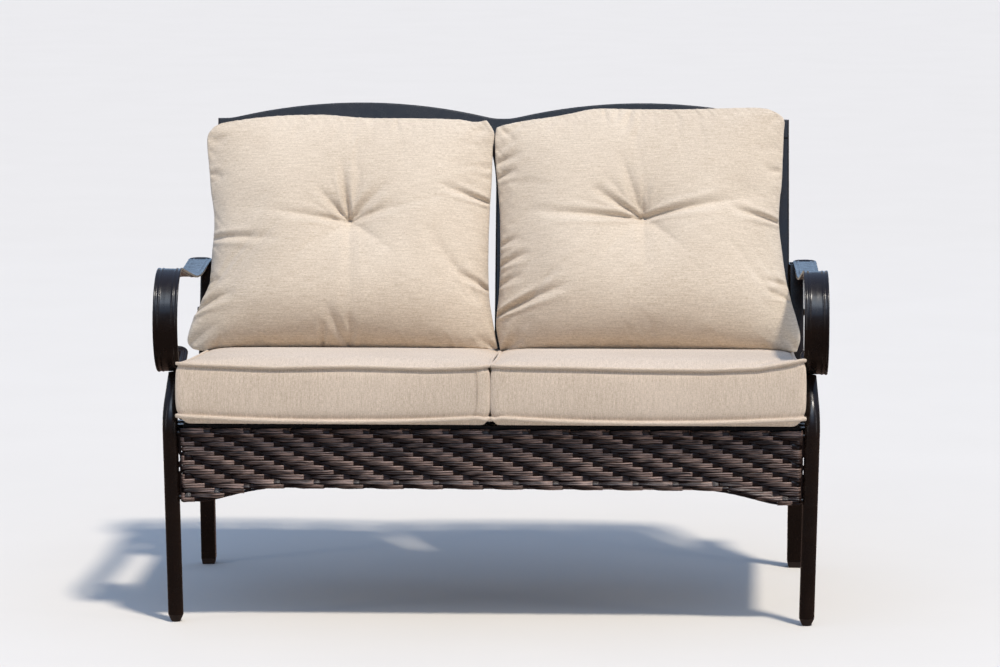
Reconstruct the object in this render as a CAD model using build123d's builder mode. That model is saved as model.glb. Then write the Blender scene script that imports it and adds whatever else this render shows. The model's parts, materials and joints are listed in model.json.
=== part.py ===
from build123d import *
import os
from math import cos, radians, sin, tan

# Patio loveseat: a powder-coated steel frame with scrolled arms, a woven skirt
# under the seat, two boxed seat cushions and two loose back cushions.
# Millimetres, +Z up, the front faces -Y. Left and right are as seen from the front.
# The origin is on the floor, under the middle of the whole loveseat.

os.makedirs("parts", exist_ok=True)

SIDES = (("left", -1), ("right", 1))

# Steel stock and the gaps between pieces
tube_wall = 1.6
tube_corner = 3.5
weld_gap = 0.2
cut_overrun = 60

# Height of the seat plane at the front, which the legs, arms, back and skirt follow
seat_height = 380

# Legs, with rises and drops from the seat, insets from the arms' middle lines and
# the rear feet's margin behind the seat cushions' depth
front_foot_inset = 13.5
front_leg_diameter = 29
front_leg_bow = 8
front_leg_bow_rise = 15
front_leg_bend_radius = 80
rear_foot_margin = 28
rear_leg_inset = 17
rear_leg_size = 29
knee_drop = 50
knee_setback = 41
knee_radius = 160

# Foot caps and tube plugs
front_cap_height = 14
front_cap_tip_diameter = 17
rear_cap_height = 12
rear_cap_taper_angle = 12
plug_length = 16
plug_clearance = 0.25
plug_lip = 2.5
cap_edge_radius = 1.5

# Arms: one flat bar each, curled down at the front
arm_spread = 1222
arm_width = 47
arm_thickness = 4.5
arm_crest_rise = 285.5
scroll_radius = 99
scroll_setback = 79
arm_fall_angle = 10.5
arm_rear_drop = 47
arm_rear_rise_angle = 2.5
arm_rear_overhang = 3.6
arm_dip_radius = 900
tongue_radius = 187
tongue_angle = 34
arm_corner_radius = 20
arm_shoulder_radius = 1.4

# Seat frame, in the plane that the cushions rest on
seat_slope_angle = 5
seat_rail_size = 25
seat_rail_setback = 24.5
seat_rear_rail_margin = 44
side_rail_inset = 17.5
side_rail_start = 12
seat_slat_count = 5
seat_slat_width = 32
seat_slat_thickness = 3

# Back frame, in a plane that leans back from the rear legs' knees
recline_angle = 17
back_depth = 25
post_size = 25
post_foot_rise = 24
crest_rise = 549
crest_arch_rise = 33
crest_rail_height = 40
crest_end_flat = 28
crest_centre_flat = 36
crest_blend_radius = 120
crest_edge_radius = 3
bottom_rail_rise = 68
back_slats_per_side = 3
back_slat_width = 25
back_slat_thickness = 6
gusset_height = 105
gusset_reach = 18
gusset_thickness = 10

# Bolts that hold the back frame to the rear legs
bolt_rises = (46, 196)
bolt_diameter = 6
bolt_hole_clearance = 0.25
thread_clearance = 0.05
bolt_head_diameter = 12
bolt_head_height = 4
bolt_head_taper_angle = 12
washer_diameter = 14
washer_thickness = 1.5
nut_across_flats = 10
nut_height = 5
nut_dome_radius = 4.5
nut_dome_taper_angle = 36

# Woven skirt on its rods
skirt_inset = 24.5
skirt_top_drop = 10
skirt_face_height = 111.5
skirt_end_drop = 27.5
skirt_bend_inset = 129.5
skirt_bend_radius = 550
skirt_foot_inset = 35.5
skirt_foot_radius = 60
skirt_rod_diameter = 10
end_rod_diameter = 8
weave_wrap = 3
weave_thickness = 5
weave_clearance = 0.1

# Seat cushions, lying in the seat plane
cushion_gap = 3
seat_arm_clearance = 4
seat_cushion_depth = 558
seat_cushion_nose = 26
seat_tuck_height = 19
seat_tuck_inset = 24
seat_band_height = 91
seat_crown = 14
seat_draw_in = 4
seat_band_bulge = 2.5
seat_corner_radius = 13
rest_gap = 0.3
cover_thickness = 3
filling_clearance = 0.3

# Back cushions, leaning on the back frame
back_cushion_trim = 5
back_cushion_depth = 182
back_cushion_height = 512
back_cushion_start_rise = 92
back_cushion_side_bulge = 16
back_cushion_gap = 0.4
tuft_radius = 70
tuft_depth = 20
tuft_button_radius = 5

# Rise of the seat crown against its inset from the seam, as shares of the crown
# and of half the smaller side
seat_crown_shares = ((0, 0), (0.07, 0.42), (0.18, 0.74), (0.4, 0.92), (0.7, 0.985), (0.93, 1))

# Back cushion's form from bottom to top: shares of its height, width and depth
back_cushion_shares = (
    (0, 0.975, 0.72),
    (0.12, 0.995, 0.9),
    (0.27, 1, 1),
    (0.45, 0.985, 0.97),
    (0.62, 0.97, 0.87),
    (0.8, 0.97, 0.76),
    (0.92, 0.975, 0.62),
    (0.98, 0.965, 0.46),
    (1, 0.94, 0.34),
)
back_cushion_edge_share = 0.62
tuft_level = 4
back_cushion_floor_share = 0.965

# Angles and the places that follow from the driving sizes
seat_slope = radians(seat_slope_angle)
recline = radians(recline_angle)
fall = radians(arm_fall_angle)
rear_rise = radians(arm_rear_rise_angle)

# The arms' spread sets every width, and the seat cushions' depth sets the base
front_foot_spread = arm_spread - 2 * front_foot_inset
rear_leg_spread = arm_spread - 2 * rear_leg_inset
side_rail_spread = arm_spread - 2 * side_rail_inset
seat_cushion_width = (arm_spread - arm_width - cushion_gap) / 2 - seat_arm_clearance
back_cushion_width = seat_cushion_width - back_cushion_trim
skirt_half_width = arm_spread / 2 - skirt_inset
skirt_bend_x = skirt_half_width - skirt_bend_inset
skirt_foot_x = skirt_half_width - skirt_foot_inset
leg_base = seat_cushion_depth + rear_foot_margin
seat_rear_rail_setback = seat_cushion_depth - seat_rear_rail_margin

# The seat's height sets the other heights
front_leg_bow_height = seat_height + front_leg_bow_rise
knee_height = seat_height - knee_drop
arm_crest_height = seat_height + arm_crest_rise
crest_height = seat_height + crest_rise
skirt_top_height = seat_height - skirt_top_drop
skirt_bottom_height = skirt_top_height - skirt_face_height

crest_top_rise = (crest_height - knee_height - back_depth / 2 * sin(recline)) / cos(recline)
crest_rear_reach = crest_top_rise * sin(recline) + back_depth / 2 * cos(recline)
rear_end = leg_base - knee_setback + crest_rear_reach
front_end = (seat_tuck_height + rest_gap) * sin(seat_slope) - seat_cushion_nose * cos(seat_slope)

# The middle of the loveseat lies on the X axis, so the feet stand off it
front_y = -(front_end + rear_end) / 2
rear_foot_y = front_y + leg_base
knee_y = rear_foot_y - knee_setback
leg_inner_x = rear_leg_spread / 2 - rear_leg_size / 2
back_half_width = leg_inner_x - weld_gap
post_x = back_half_width - post_size / 2
side_rail_x = side_rail_spread / 2

# The arm's rear end, a little behind the rear leg
arm_rear_height = arm_crest_height - arm_rear_drop
rear_leg_top_y = knee_y + (arm_rear_height - knee_height) * tan(recline)
arm_end_y = rear_leg_top_y + rear_leg_size / 2 / cos(recline) + arm_rear_overhang

across = (1, 0, 0)
seat_plane = Plane(
    origin=(0, front_y, seat_height),
    x_dir=across,
    z_dir=(0, sin(seat_slope), cos(seat_slope)),
)
back_plane = Plane(
    origin=(0, knee_y, knee_height),
    x_dir=across,
    z_dir=(0, -cos(recline), sin(recline)),
)


# The arm's rear stretch lies in this plane, which falls a little towards the front
arm_rear_plane = Plane(
    origin=(0, arm_end_y, arm_rear_height),
    x_dir=across,
    z_dir=(0, -sin(rear_rise), cos(rear_rise)),
)


# Point of the seat plane, from its setback and its height over the plane
def on_seat(x, setback, height):
    return seat_plane.from_local_coords((x, setback, height))


# Point of the back plane, from its rise and its place in front of the plane
def on_back(x, rise, forward):
    return back_plane.from_local_coords((x, rise, forward))


# Plane square to the back's rise, where posts, slats and cushion sections lie
def back_level(x, rise, forward):
    return Plane(origin=on_back(x, rise, forward), x_dir=across, z_dir=back_plane.y_dir)


# Hollow square section with rounded corners, drawn in the open sketch
def tube_section(width, depth):
    RectangleRounded(width, depth, tube_corner)
    RectangleRounded(
        width - 2 * tube_wall,
        depth - 2 * tube_wall,
        tube_corner - tube_wall,
        mode=Mode.SUBTRACT,
    )


# Front legs: round tubes that bow out below the arm and turn back under its scroll
scroll_y = front_y + scroll_setback
scroll_z = arm_crest_height - scroll_radius
leg_top_inset = front_leg_diameter / 2
leg_top_y = scroll_y + leg_top_inset
leg_top_z = scroll_z - scroll_radius + leg_top_inset * 2


def front_leg_points(side):
    foot_x = side * front_foot_spread / 2
    return (
        (foot_x, front_y, 0),
        (foot_x + side * front_leg_bow, front_y, front_leg_bow_height),
        (foot_x, leg_top_y, leg_top_z),
    )


# The leg's outside grown by a gap, which is cut out of whatever meets the leg
def front_leg_envelope(side, gap):
    with BuildPart() as envelope:
        with BuildLine() as path:
            FilletPolyline(*front_leg_points(side), radius=front_leg_bend_radius)
        with BuildSketch(Plane(origin=path.line @ 0, z_dir=path.line % 0)):
            Circle(front_leg_diameter / 2 + gap)
        sweep()
    return envelope.part


for side_name, side in SIDES:
    with BuildPart() as front_leg:
        with BuildLine() as leg_path:
            FilletPolyline(*front_leg_points(side), radius=front_leg_bend_radius)
        with BuildSketch(Plane(origin=leg_path.line @ 0, z_dir=leg_path.line % 0)):
            Circle(front_leg_diameter / 2)
            Circle(front_leg_diameter / 2 - tube_wall, mode=Mode.SUBTRACT)
        sweep()
        split(bisect_by=Plane.XY.offset(front_cap_height), keep=Keep.TOP)
        with BuildSketch(Plane.YZ.offset(side * arm_spread / 2)):
            with Locations((scroll_y, scroll_z)):
                Circle(scroll_radius + weld_gap)
        extrude(amount=arm_width, both=True, mode=Mode.SUBTRACT)
    front_leg.part.label = f"front_leg_{side_name}"
    export_step(front_leg.part, f"parts/front_leg_{side_name}.step")

# Rear legs: square tubes that kick back at the foot and follow the back's lean
rear_leg_slant = knee_setback / knee_height
rear_leg_lean = tan(recline)


def rear_leg_points(side):
    leg_x = side * rear_leg_spread / 2
    top_height = arm_rear_height + cut_overrun
    return (
        (leg_x, rear_foot_y + cut_overrun * rear_leg_slant, -cut_overrun),
        (leg_x, knee_y, knee_height),
        (leg_x, knee_y + (top_height - knee_height) * rear_leg_lean, top_height),
    )


def rear_leg_envelope(side, gap):
    with BuildPart() as envelope:
        with BuildLine() as path:
            FilletPolyline(*rear_leg_points(side), radius=knee_radius)
        with BuildSketch(Plane(origin=path.line @ 0, x_dir=across, z_dir=path.line % 0)):
            Rectangle(rear_leg_size + 2 * gap, rear_leg_size + 2 * gap)
        sweep()
    return envelope.part


for side_name, side in SIDES:
    with BuildPart() as rear_leg:
        with BuildLine() as leg_path:
            FilletPolyline(*rear_leg_points(side), radius=knee_radius)
        with BuildSketch(Plane(origin=leg_path.line @ 0, x_dir=across, z_dir=leg_path.line % 0)):
            tube_section(rear_leg_size, rear_leg_size)
        sweep()
        split(bisect_by=Plane.XY.offset(rear_cap_height), keep=Keep.TOP)
        split(bisect_by=arm_rear_plane.offset(-arm_thickness - weld_gap), keep=Keep.BOTTOM)
        for rise in bolt_rises:
            bolt_line = Plane(origin=on_back(side * leg_inner_x, rise, 0), z_dir=across)
            with BuildSketch(bolt_line):
                Circle(bolt_diameter / 2 + bolt_hole_clearance)
            extrude(amount=cut_overrun, both=True, mode=Mode.SUBTRACT)
    rear_leg.part.label = f"rear_leg_{side_name}"
    export_step(rear_leg.part, f"parts/rear_leg_{side_name}.step")

# Foot caps: plastic plugs whose necks fill the tubes' ends
for side_name, side in SIDES:
    foot_x = side * front_foot_spread / 2
    cap_x = foot_x + side * front_leg_bow * front_cap_height / front_leg_bow_height
    neck_radius = front_leg_diameter / 2 - tube_wall - plug_clearance
    with BuildPart() as front_cap:
        with BuildSketch(Plane.XY) as cap_tip:
            with Locations((cap_x, front_y)):
                Circle(front_cap_tip_diameter / 2)
        with BuildSketch(Plane.XY.offset(front_cap_height - weld_gap)):
            with Locations((cap_x, front_y)):
                Circle(front_leg_diameter / 2)
        loft()
        fillet(front_cap.edges().sort_by(Axis.Z)[0], radius=cap_edge_radius)
        with BuildSketch(Plane.XY.offset(front_cap_height - weld_gap)):
            with Locations((cap_x, front_y)):
                Circle(neck_radius)
        extrude(amount=plug_length, dir=(side * front_leg_bow, 0, front_leg_bow_height))
    front_cap.part.label = f"front_foot_cap_{side_name}"
    export_step(front_cap.part, f"parts/front_foot_cap_{side_name}.step")

    cap_y = rear_foot_y - rear_cap_height * rear_leg_slant
    neck_size = rear_leg_size - 2 * tube_wall - 2 * plug_clearance
    with BuildPart() as rear_cap:
        with BuildSketch(Plane.XY.offset(rear_cap_height - weld_gap)):
            with Locations((side * rear_leg_spread / 2, cap_y)):
                RectangleRounded(rear_leg_size, rear_leg_size, tube_corner)
        extrude(amount=weld_gap - rear_cap_height, taper=rear_cap_taper_angle)
        with BuildSketch(Plane.XY.offset(rear_cap_height - weld_gap)):
            with Locations((side * rear_leg_spread / 2, cap_y)):
                RectangleRounded(neck_size, neck_size, tube_corner - tube_wall)
        extrude(amount=plug_length, dir=(0, -knee_setback, knee_height))
    rear_cap.part.label = f"rear_foot_cap_{side_name}"
    export_step(rear_cap.part, f"parts/rear_foot_cap_{side_name}.step")

# Arm straps: the bar falls a little from the rear leg, climbs to the crest, and curls
# round the scroll into a flatter tongue that ends in rounded corners
crest_end_y = scroll_y + scroll_radius * sin(fall)
crest_end_z = scroll_z + scroll_radius * cos(fall)
rear_stretch_fall = (arm_end_y - crest_end_y) * tan(rear_rise)
dip_reach = (crest_end_z - arm_rear_height + rear_stretch_fall) / (tan(fall) + tan(rear_rise))
dip_y = crest_end_y + dip_reach
dip_z = crest_end_z - dip_reach * tan(fall)

for side_name, side in SIDES:
    with BuildPart() as arm_strap:
        with BuildSketch(Plane.YZ.offset(side * arm_spread / 2)) as arm_side:
            with BuildLine():
                FilletPolyline(
                    (arm_end_y, arm_rear_height),
                    (dip_y, dip_z),
                    (crest_end_y, crest_end_z),
                    radius=arm_dip_radius,
                )
                CenterArc(
                    (scroll_y, scroll_z),
                    scroll_radius,
                    start_angle=90 - arm_fall_angle,
                    arc_size=180 + arm_fall_angle,
                )
                CenterArc(
                    (scroll_y, scroll_z - scroll_radius + tongue_radius),
                    tongue_radius,
                    start_angle=270,
                    arc_size=tongue_angle,
                )
                offset(amount=arm_thickness, side=Side.LEFT)
            make_face()
        extrude(amount=arm_width / 2, both=True)
        end_edges = arm_strap.edges().filter_by(
            lambda edge: abs(edge.length - arm_thickness) < weld_gap
            and edge.geom_type == GeomType.LINE
        )
        fillet(end_edges, radius=arm_corner_radius)
        flank_edges = arm_strap.faces().filter_by(Axis.X).edges()
        fillet(
            flank_edges.filter_by(lambda edge: edge.length > arm_thickness + weld_gap),
            radius=arm_shoulder_radius,
        )
    arm_strap.part.label = f"arm_strap_{side_name}"
    export_step(arm_strap.part, f"parts/arm_strap_{side_name}.step")

# Side rails: from each front leg back to the rear leg, under the seat's edge
slat_seat = seat_slat_thickness + weld_gap
for side_name, side in SIDES:
    with BuildPart() as side_rail:
        side_rail_end = Plane(
            origin=on_seat(side * side_rail_x, side_rail_start, -slat_seat - seat_rail_size / 2),
            x_dir=across,
            z_dir=seat_plane.y_dir,
        )
        with BuildSketch(side_rail_end):
            tube_section(seat_rail_size, seat_rail_size)
        extrude(amount=leg_base - knee_setback - side_rail_start)
        add(front_leg_envelope(side, weld_gap), mode=Mode.SUBTRACT)
        add(rear_leg_envelope(side, weld_gap), mode=Mode.SUBTRACT)
    side_rail.part.label = f"side_rail_{side_name}"
    export_step(side_rail.part, f"parts/side_rail_{side_name}.step")

# Front and rear rails between the side rails, and the centre rail between those
cross_rail_length = side_rail_spread - seat_rail_size - 2 * weld_gap
for rail_name, setback in (("front", seat_rail_setback), ("rear", seat_rear_rail_setback)):
    with BuildPart() as cross_rail:
        rail_end = Plane(
            origin=on_seat(-cross_rail_length / 2, setback, -seat_rail_size / 2),
            x_dir=seat_plane.y_dir,
            z_dir=across,
        )
        with BuildSketch(rail_end):
            tube_section(seat_rail_size, seat_rail_size)
        extrude(amount=cross_rail_length)
    cross_rail.part.label = f"seat_{rail_name}_rail"
    export_step(cross_rail.part, f"parts/seat_{rail_name}_rail.step")

slat_start = seat_rail_setback + seat_rail_size / 2 + weld_gap
slat_stop = seat_rear_rail_setback - seat_rail_size / 2 - weld_gap
with BuildPart() as centre_rail:
    centre_rail_end = Plane(
        origin=on_seat(0, slat_start, -slat_seat - seat_rail_size / 2),
        x_dir=across,
        z_dir=seat_plane.y_dir,
    )
    with BuildSketch(centre_rail_end):
        tube_section(seat_rail_size, seat_rail_size)
    extrude(amount=slat_stop - slat_start)
centre_rail.part.label = "seat_centre_rail"
export_step(centre_rail.part, "parts/seat_centre_rail.step")

# Seat slats: flat bars laid across the side rails and the centre rail
seat_slat_length = 2 * (side_rail_x + seat_rail_size / 2)
seat_slat_pitch = (slat_stop - slat_start) / seat_slat_count
for index in range(seat_slat_count):
    slat_setback = slat_start + (index + 1 / 2) * seat_slat_pitch
    with BuildPart() as seat_slat:
        with BuildSketch(seat_plane.offset(-seat_slat_thickness)):
            with Locations((0, slat_setback)):
                Rectangle(seat_slat_length, seat_slat_width)
        extrude(amount=seat_slat_thickness)
    seat_slat.part.label = f"seat_slat_{index + 1}"
    export_step(seat_slat.part, f"parts/seat_slat_{index + 1}.step")

# Back posts: square tubes beside the rear legs, up to the crest rail
crest_base_rise = crest_top_rise - crest_arch_rise
rail_underside_rise = crest_base_rise - crest_rail_height
post_length = rail_underside_rise - weld_gap - post_foot_rise
for side_name, side in SIDES:
    with BuildPart() as back_post:
        with BuildSketch(back_level(side * post_x, post_foot_rise, 0)):
            tube_section(post_size, back_depth)
        extrude(amount=post_length)
        for rise in bolt_rises:
            with BuildSketch(Plane(origin=on_back(side * post_x, rise, 0), z_dir=across)):
                Circle(bolt_diameter / 2 + bolt_hole_clearance)
            extrude(amount=post_size, both=True, mode=Mode.SUBTRACT)
    back_post.part.label = f"back_post_{side_name}"
    export_step(back_post.part, f"parts/back_post_{side_name}.step")

    plug_size = post_size - 2 * tube_wall - 2 * plug_clearance
    with BuildPart() as post_plug:
        with BuildSketch(back_level(side * post_x, post_foot_rise - weld_gap - plug_lip, 0)):
            RectangleRounded(post_size, back_depth, tube_corner)
        extrude(amount=plug_lip)
        with BuildSketch(back_level(side * post_x, post_foot_rise - weld_gap, 0)):
            RectangleRounded(plug_size, plug_size, tube_corner - tube_wall)
        extrude(amount=plug_length)
    post_plug.part.label = f"back_post_plug_{side_name}"
    export_step(post_plug.part, f"parts/back_post_plug_{side_name}.step")

# Crest rail: a closed tube bent into two arches, with short flats at its ends and
# in the middle, where it turns from one arch to the other
arch_start_x = back_half_width - crest_end_flat
arch_stop_x = crest_centre_flat / 2
arch_top_x = (arch_start_x + arch_stop_x) / 2


# The double arch from left to right, with its ends at the given rise
def crest_curve(end_rise, half_width):
    top_rise = end_rise + crest_arch_rise
    Line((-half_width, end_rise), (-arch_start_x, end_rise))
    ThreePointArc((-arch_start_x, end_rise), (-arch_top_x, top_rise), (-arch_stop_x, end_rise))
    Line((-arch_stop_x, end_rise), (arch_stop_x, end_rise))
    ThreePointArc((arch_stop_x, end_rise), (arch_top_x, top_rise), (arch_start_x, end_rise))
    Line((arch_start_x, end_rise), (half_width, end_rise))


with BuildPart() as crest_rail:
    with BuildSketch(back_plane) as crest_outline:
        with BuildLine():
            crest_curve(crest_base_rise, back_half_width)
            crest_curve(rail_underside_rise, back_half_width)
            for end_x in (-back_half_width, back_half_width):
                Line((end_x, crest_base_rise), (end_x, rail_underside_rise))
        make_face()
        bends = crest_outline.vertices().sort_by(lambda vertex: abs(vertex.X))[:-4]
        fillet(bends, radius=crest_blend_radius)
    extrude(amount=back_depth / 2, both=True)
    long_edges = crest_rail.faces().sort_by(SortBy.AREA)[-2:].edges()
    fillet(long_edges, radius=crest_edge_radius)
    with BuildSketch(back_plane) as crest_hollow:
        add(crest_outline.sketch_local)
        offset(amount=-tube_wall, kind=Kind.INTERSECTION)
    extrude(amount=back_depth / 2 - tube_wall, both=True, mode=Mode.SUBTRACT)
crest_rail.part.label = "crest_rail"
export_step(crest_rail.part, "parts/crest_rail.step")

# Everything above the rail's underside, which is cut off the pieces that end there
with BuildPart() as crest_trim:
    with BuildSketch(back_plane) as trim_outline:
        with BuildLine():
            crest_curve(rail_underside_rise - weld_gap, back_half_width)
            for end_x in (-back_half_width, back_half_width):
                Line((end_x, rail_underside_rise - weld_gap), (end_x, crest_top_rise))
            Line((-back_half_width, crest_top_rise), (back_half_width, crest_top_rise))
        make_face()
        bends = trim_outline.vertices().sort_by(lambda vertex: abs(vertex.X))[:-4]
        fillet(bends, radius=crest_blend_radius)
    extrude(amount=back_depth, both=True)

# Bottom rail of the back, between the posts
bottom_rail_length = 2 * (back_half_width - post_size - weld_gap)
with BuildPart() as bottom_rail:
    bottom_rail_end = Plane(
        origin=on_back(-bottom_rail_length / 2, bottom_rail_rise, 0),
        x_dir=back_plane.y_dir,
        z_dir=across,
    )
    with BuildSketch(bottom_rail_end):
        tube_section(post_size, back_depth)
    extrude(amount=bottom_rail_length)
bottom_rail.part.label = "back_bottom_rail"
export_step(bottom_rail.part, "parts/back_bottom_rail.step")

# Centre post, and the curved gussets that join it to the crest rail
slat_foot_rise = bottom_rail_rise + post_size / 2 + weld_gap
upright_length = crest_top_rise - slat_foot_rise
with BuildPart() as centre_post:
    with BuildSketch(back_level(0, slat_foot_rise, 0)):
        tube_section(post_size, back_depth)
    extrude(amount=upright_length)
    add(crest_trim.part, mode=Mode.SUBTRACT)
centre_post.part.label = "back_centre_post"
export_step(centre_post.part, "parts/back_centre_post.step")

gusset_x = post_size / 2 + weld_gap
gusset_top_rise = rail_underside_rise + crest_arch_rise
for side_name, side in SIDES:
    with BuildPart() as gusset:
        with BuildSketch(back_plane):
            with BuildLine():
                gusset_foot = (side * gusset_x, rail_underside_rise - gusset_height)
                gusset_tip = (side * (gusset_x + gusset_reach), rail_underside_rise)
                gusset_corner = (gusset_tip[0], gusset_top_rise)
                TangentArc(gusset_foot, gusset_tip, tangent=(0, 1))
                Line(gusset_tip, gusset_corner)
                Line(gusset_corner, (side * gusset_x, gusset_top_rise))
                Line((side * gusset_x, gusset_top_rise), gusset_foot)
            make_face()
        extrude(amount=gusset_thickness / 2, both=True)
        add(crest_trim.part, mode=Mode.SUBTRACT)
    gusset.part.label = f"crest_gusset_{side_name}"
    export_step(gusset.part, f"parts/crest_gusset_{side_name}.step")

# Back slats: flat bars between the bottom rail and the arches
half_bay = back_half_width - post_size - post_size / 2
slat_pitch = half_bay / (back_slats_per_side + 1)
for side_name, side in SIDES:
    for index in range(back_slats_per_side):
        slat_x = side * (post_size / 2 + (index + 1) * slat_pitch)
        with BuildPart() as back_slat:
            with BuildSketch(back_level(slat_x, slat_foot_rise, 0)):
                Rectangle(back_slat_width, back_slat_thickness)
            extrude(amount=upright_length)
            add(crest_trim.part, mode=Mode.SUBTRACT)
        back_slat.part.label = f"back_slat_{side_name}_{index + 1}"
        export_step(back_slat.part, f"parts/back_slat_{side_name}_{index + 1}.step")

# Bolts, washers and cap nuts that clamp the back posts to the rear legs
leg_outer_x = rear_leg_spread / 2 + rear_leg_size / 2
post_inner_x = back_half_width - post_size
nut_seat_x = post_inner_x - washer_thickness
shank_end_x = nut_seat_x - nut_height


# Plane across a bolt's line, at a distance from the middle and facing outwards
def bolt_plane(side, x, rise):
    return Plane(origin=on_back(side * x, rise, 0), z_dir=(side, 0, 0))


with BuildPart() as back_bolts:
    for side_name, side in SIDES:
        for rise in bolt_rises:
            with BuildSketch(bolt_plane(side, shank_end_x, rise)):
                Circle(bolt_diameter / 2)
            extrude(amount=leg_outer_x + washer_thickness - shank_end_x)
            with BuildSketch(bolt_plane(side, leg_outer_x + washer_thickness, rise)):
                Circle(bolt_head_diameter / 2)
            extrude(amount=bolt_head_height, taper=bolt_head_taper_angle)
back_bolts.part.label = "back_bolts"
export_step(back_bolts.part, "parts/back_bolts.step")

with BuildPart() as back_washers:
    for side_name, side in SIDES:
        for rise in bolt_rises:
            for washer_x in (leg_outer_x, nut_seat_x):
                with BuildSketch(bolt_plane(side, washer_x, rise)):
                    Circle(washer_diameter / 2)
                    Circle(bolt_diameter / 2 + bolt_hole_clearance, mode=Mode.SUBTRACT)
                extrude(amount=washer_thickness)
back_washers.part.label = "back_washers"
export_step(back_washers.part, "parts/back_washers.step")

with BuildPart() as back_cap_nuts:
    for side_name, side in SIDES:
        for rise in bolt_rises:
            with BuildSketch(bolt_plane(side, shank_end_x - thread_clearance, rise)):
                RegularPolygon(nut_across_flats / 2, side_count=6, major_radius=False)
            extrude(amount=nut_height + thread_clearance)
            with BuildSketch(bolt_plane(side, shank_end_x - thread_clearance, rise)):
                Circle(nut_dome_radius)
            extrude(amount=-nut_dome_radius / 2, taper=nut_dome_taper_angle)
            with BuildSketch(bolt_plane(side, shank_end_x - thread_clearance, rise)):
                Circle(bolt_diameter / 2 + thread_clearance)
            extrude(amount=nut_height + thread_clearance, mode=Mode.SUBTRACT)
back_cap_nuts.part.label = "back_cap_nuts"
export_step(back_cap_nuts.part, "parts/back_cap_nuts.step")

# Skirt rods: a straight top rod, a bottom rod that arches up over the middle, and
# two thinner upright end rods
rod_radius = skirt_rod_diameter / 2
sleeve_radius = rod_radius + weave_wrap
top_rod_z = skirt_top_height - sleeve_radius
bottom_rod_z = skirt_bottom_height + sleeve_radius
end_rod_z = bottom_rod_z - skirt_end_drop
end_rod_radius = end_rod_diameter / 2
end_rod_x = skirt_half_width - sleeve_radius
rod_half_length = front_foot_spread / 2
skirt_plane = Plane(origin=(0, front_y, 0), x_dir=across, z_dir=(0, -1, 0))
bottom_rod_radii = (skirt_foot_radius, skirt_bend_radius, skirt_bend_radius, skirt_foot_radius)


# The bottom rod's line from left to right, ending at the given distance
def bottom_rod_points(half_length):
    return (
        (-half_length, end_rod_z),
        (-skirt_foot_x, end_rod_z),
        (-skirt_bend_x, bottom_rod_z),
        (skirt_bend_x, bottom_rod_z),
        (skirt_foot_x, end_rod_z),
        (half_length, end_rod_z),
    )


with BuildPart() as top_rod:
    with BuildSketch(Plane(origin=(-rod_half_length, front_y, top_rod_z), z_dir=across)):
        Circle(rod_radius)
    extrude(amount=2 * rod_half_length)
    for side_name, side in SIDES:
        add(front_leg_envelope(side, weld_gap), mode=Mode.SUBTRACT)
top_rod.part.label = "skirt_top_rod"
export_step(top_rod.part, "parts/skirt_top_rod.step")

with BuildPart() as bottom_rod:
    with BuildLine(skirt_plane) as rod_path:
        FilletPolyline(*bottom_rod_points(rod_half_length), radius=bottom_rod_radii)
    with BuildSketch(Plane(origin=rod_path.line @ 0, z_dir=rod_path.line % 0)):
        Circle(rod_radius)
    sweep()
    for side_name, side in SIDES:
        add(front_leg_envelope(side, weld_gap), mode=Mode.SUBTRACT)
bottom_rod.part.label = "skirt_bottom_rod"
export_step(bottom_rod.part, "parts/skirt_bottom_rod.step")

end_rod_length = top_rod_z - end_rod_z - skirt_rod_diameter - 2 * weld_gap
for side_name, side in SIDES:
    with BuildPart() as end_rod:
        with BuildSketch(Plane.XY.offset(end_rod_z + rod_radius + weld_gap)):
            with Locations((side * end_rod_x, front_y)):
                Circle(end_rod_radius)
        extrude(amount=end_rod_length)
    end_rod.part.label = f"skirt_end_rod_{side_name}"
    export_step(end_rod.part, f"parts/skirt_end_rod_{side_name}.step")

# Woven panel: a web between the rods, and a sleeve where the strands wrap each rod.
# The same lines are drawn twice, for the sleeves and for the channels in them
with BuildPart() as wicker_skirt:
    with BuildSketch(skirt_plane):
        with BuildLine():
            FilletPolyline(*bottom_rod_points(end_rod_x), radius=bottom_rod_radii)
            Polyline(
                (-end_rod_x, end_rod_z),
                (-end_rod_x, top_rod_z),
                (end_rod_x, top_rod_z),
                (end_rod_x, end_rod_z),
            )
        make_face()
    extrude(amount=weave_thickness / 2, both=True)
    for wall, half_length, mode in (
        (weave_wrap, skirt_half_width, Mode.ADD),
        (weave_clearance, rod_half_length, Mode.SUBTRACT),
    ):
        with BuildSketch(Plane(origin=(-half_length, front_y, top_rod_z), z_dir=across)):
            Circle(rod_radius + wall)
        extrude(amount=2 * half_length, mode=mode)
        with BuildLine(skirt_plane) as sleeve_path:
            FilletPolyline(*bottom_rod_points(half_length), radius=bottom_rod_radii)
        with BuildSketch(Plane(origin=sleeve_path.line @ 0, z_dir=sleeve_path.line % 0)):
            Circle(rod_radius + wall)
        sweep(mode=mode)
        with BuildSketch(Plane.XY.offset(end_rod_z)):
            with Locations((-end_rod_x, front_y), (end_rod_x, front_y)):
                Circle(end_rod_radius + wall)
        extrude(amount=top_rod_z - end_rod_z, mode=mode)
wicker_skirt.part.label = "wicker_skirt"
export_step(wicker_skirt.part, "parts/wicker_skirt.step")

# Seat cushions: a boxed band between two piped seams, a tucked underside and a
# crown that rises quickly from the seam and then gently to the middle
top_seam_height = rest_gap + seat_tuck_height + seat_band_height
seat_half_width = seat_cushion_width / 2
seat_half_depth = seat_cushion_depth / 2
seat_centre_setback = seat_half_depth - seat_cushion_nose


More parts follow.
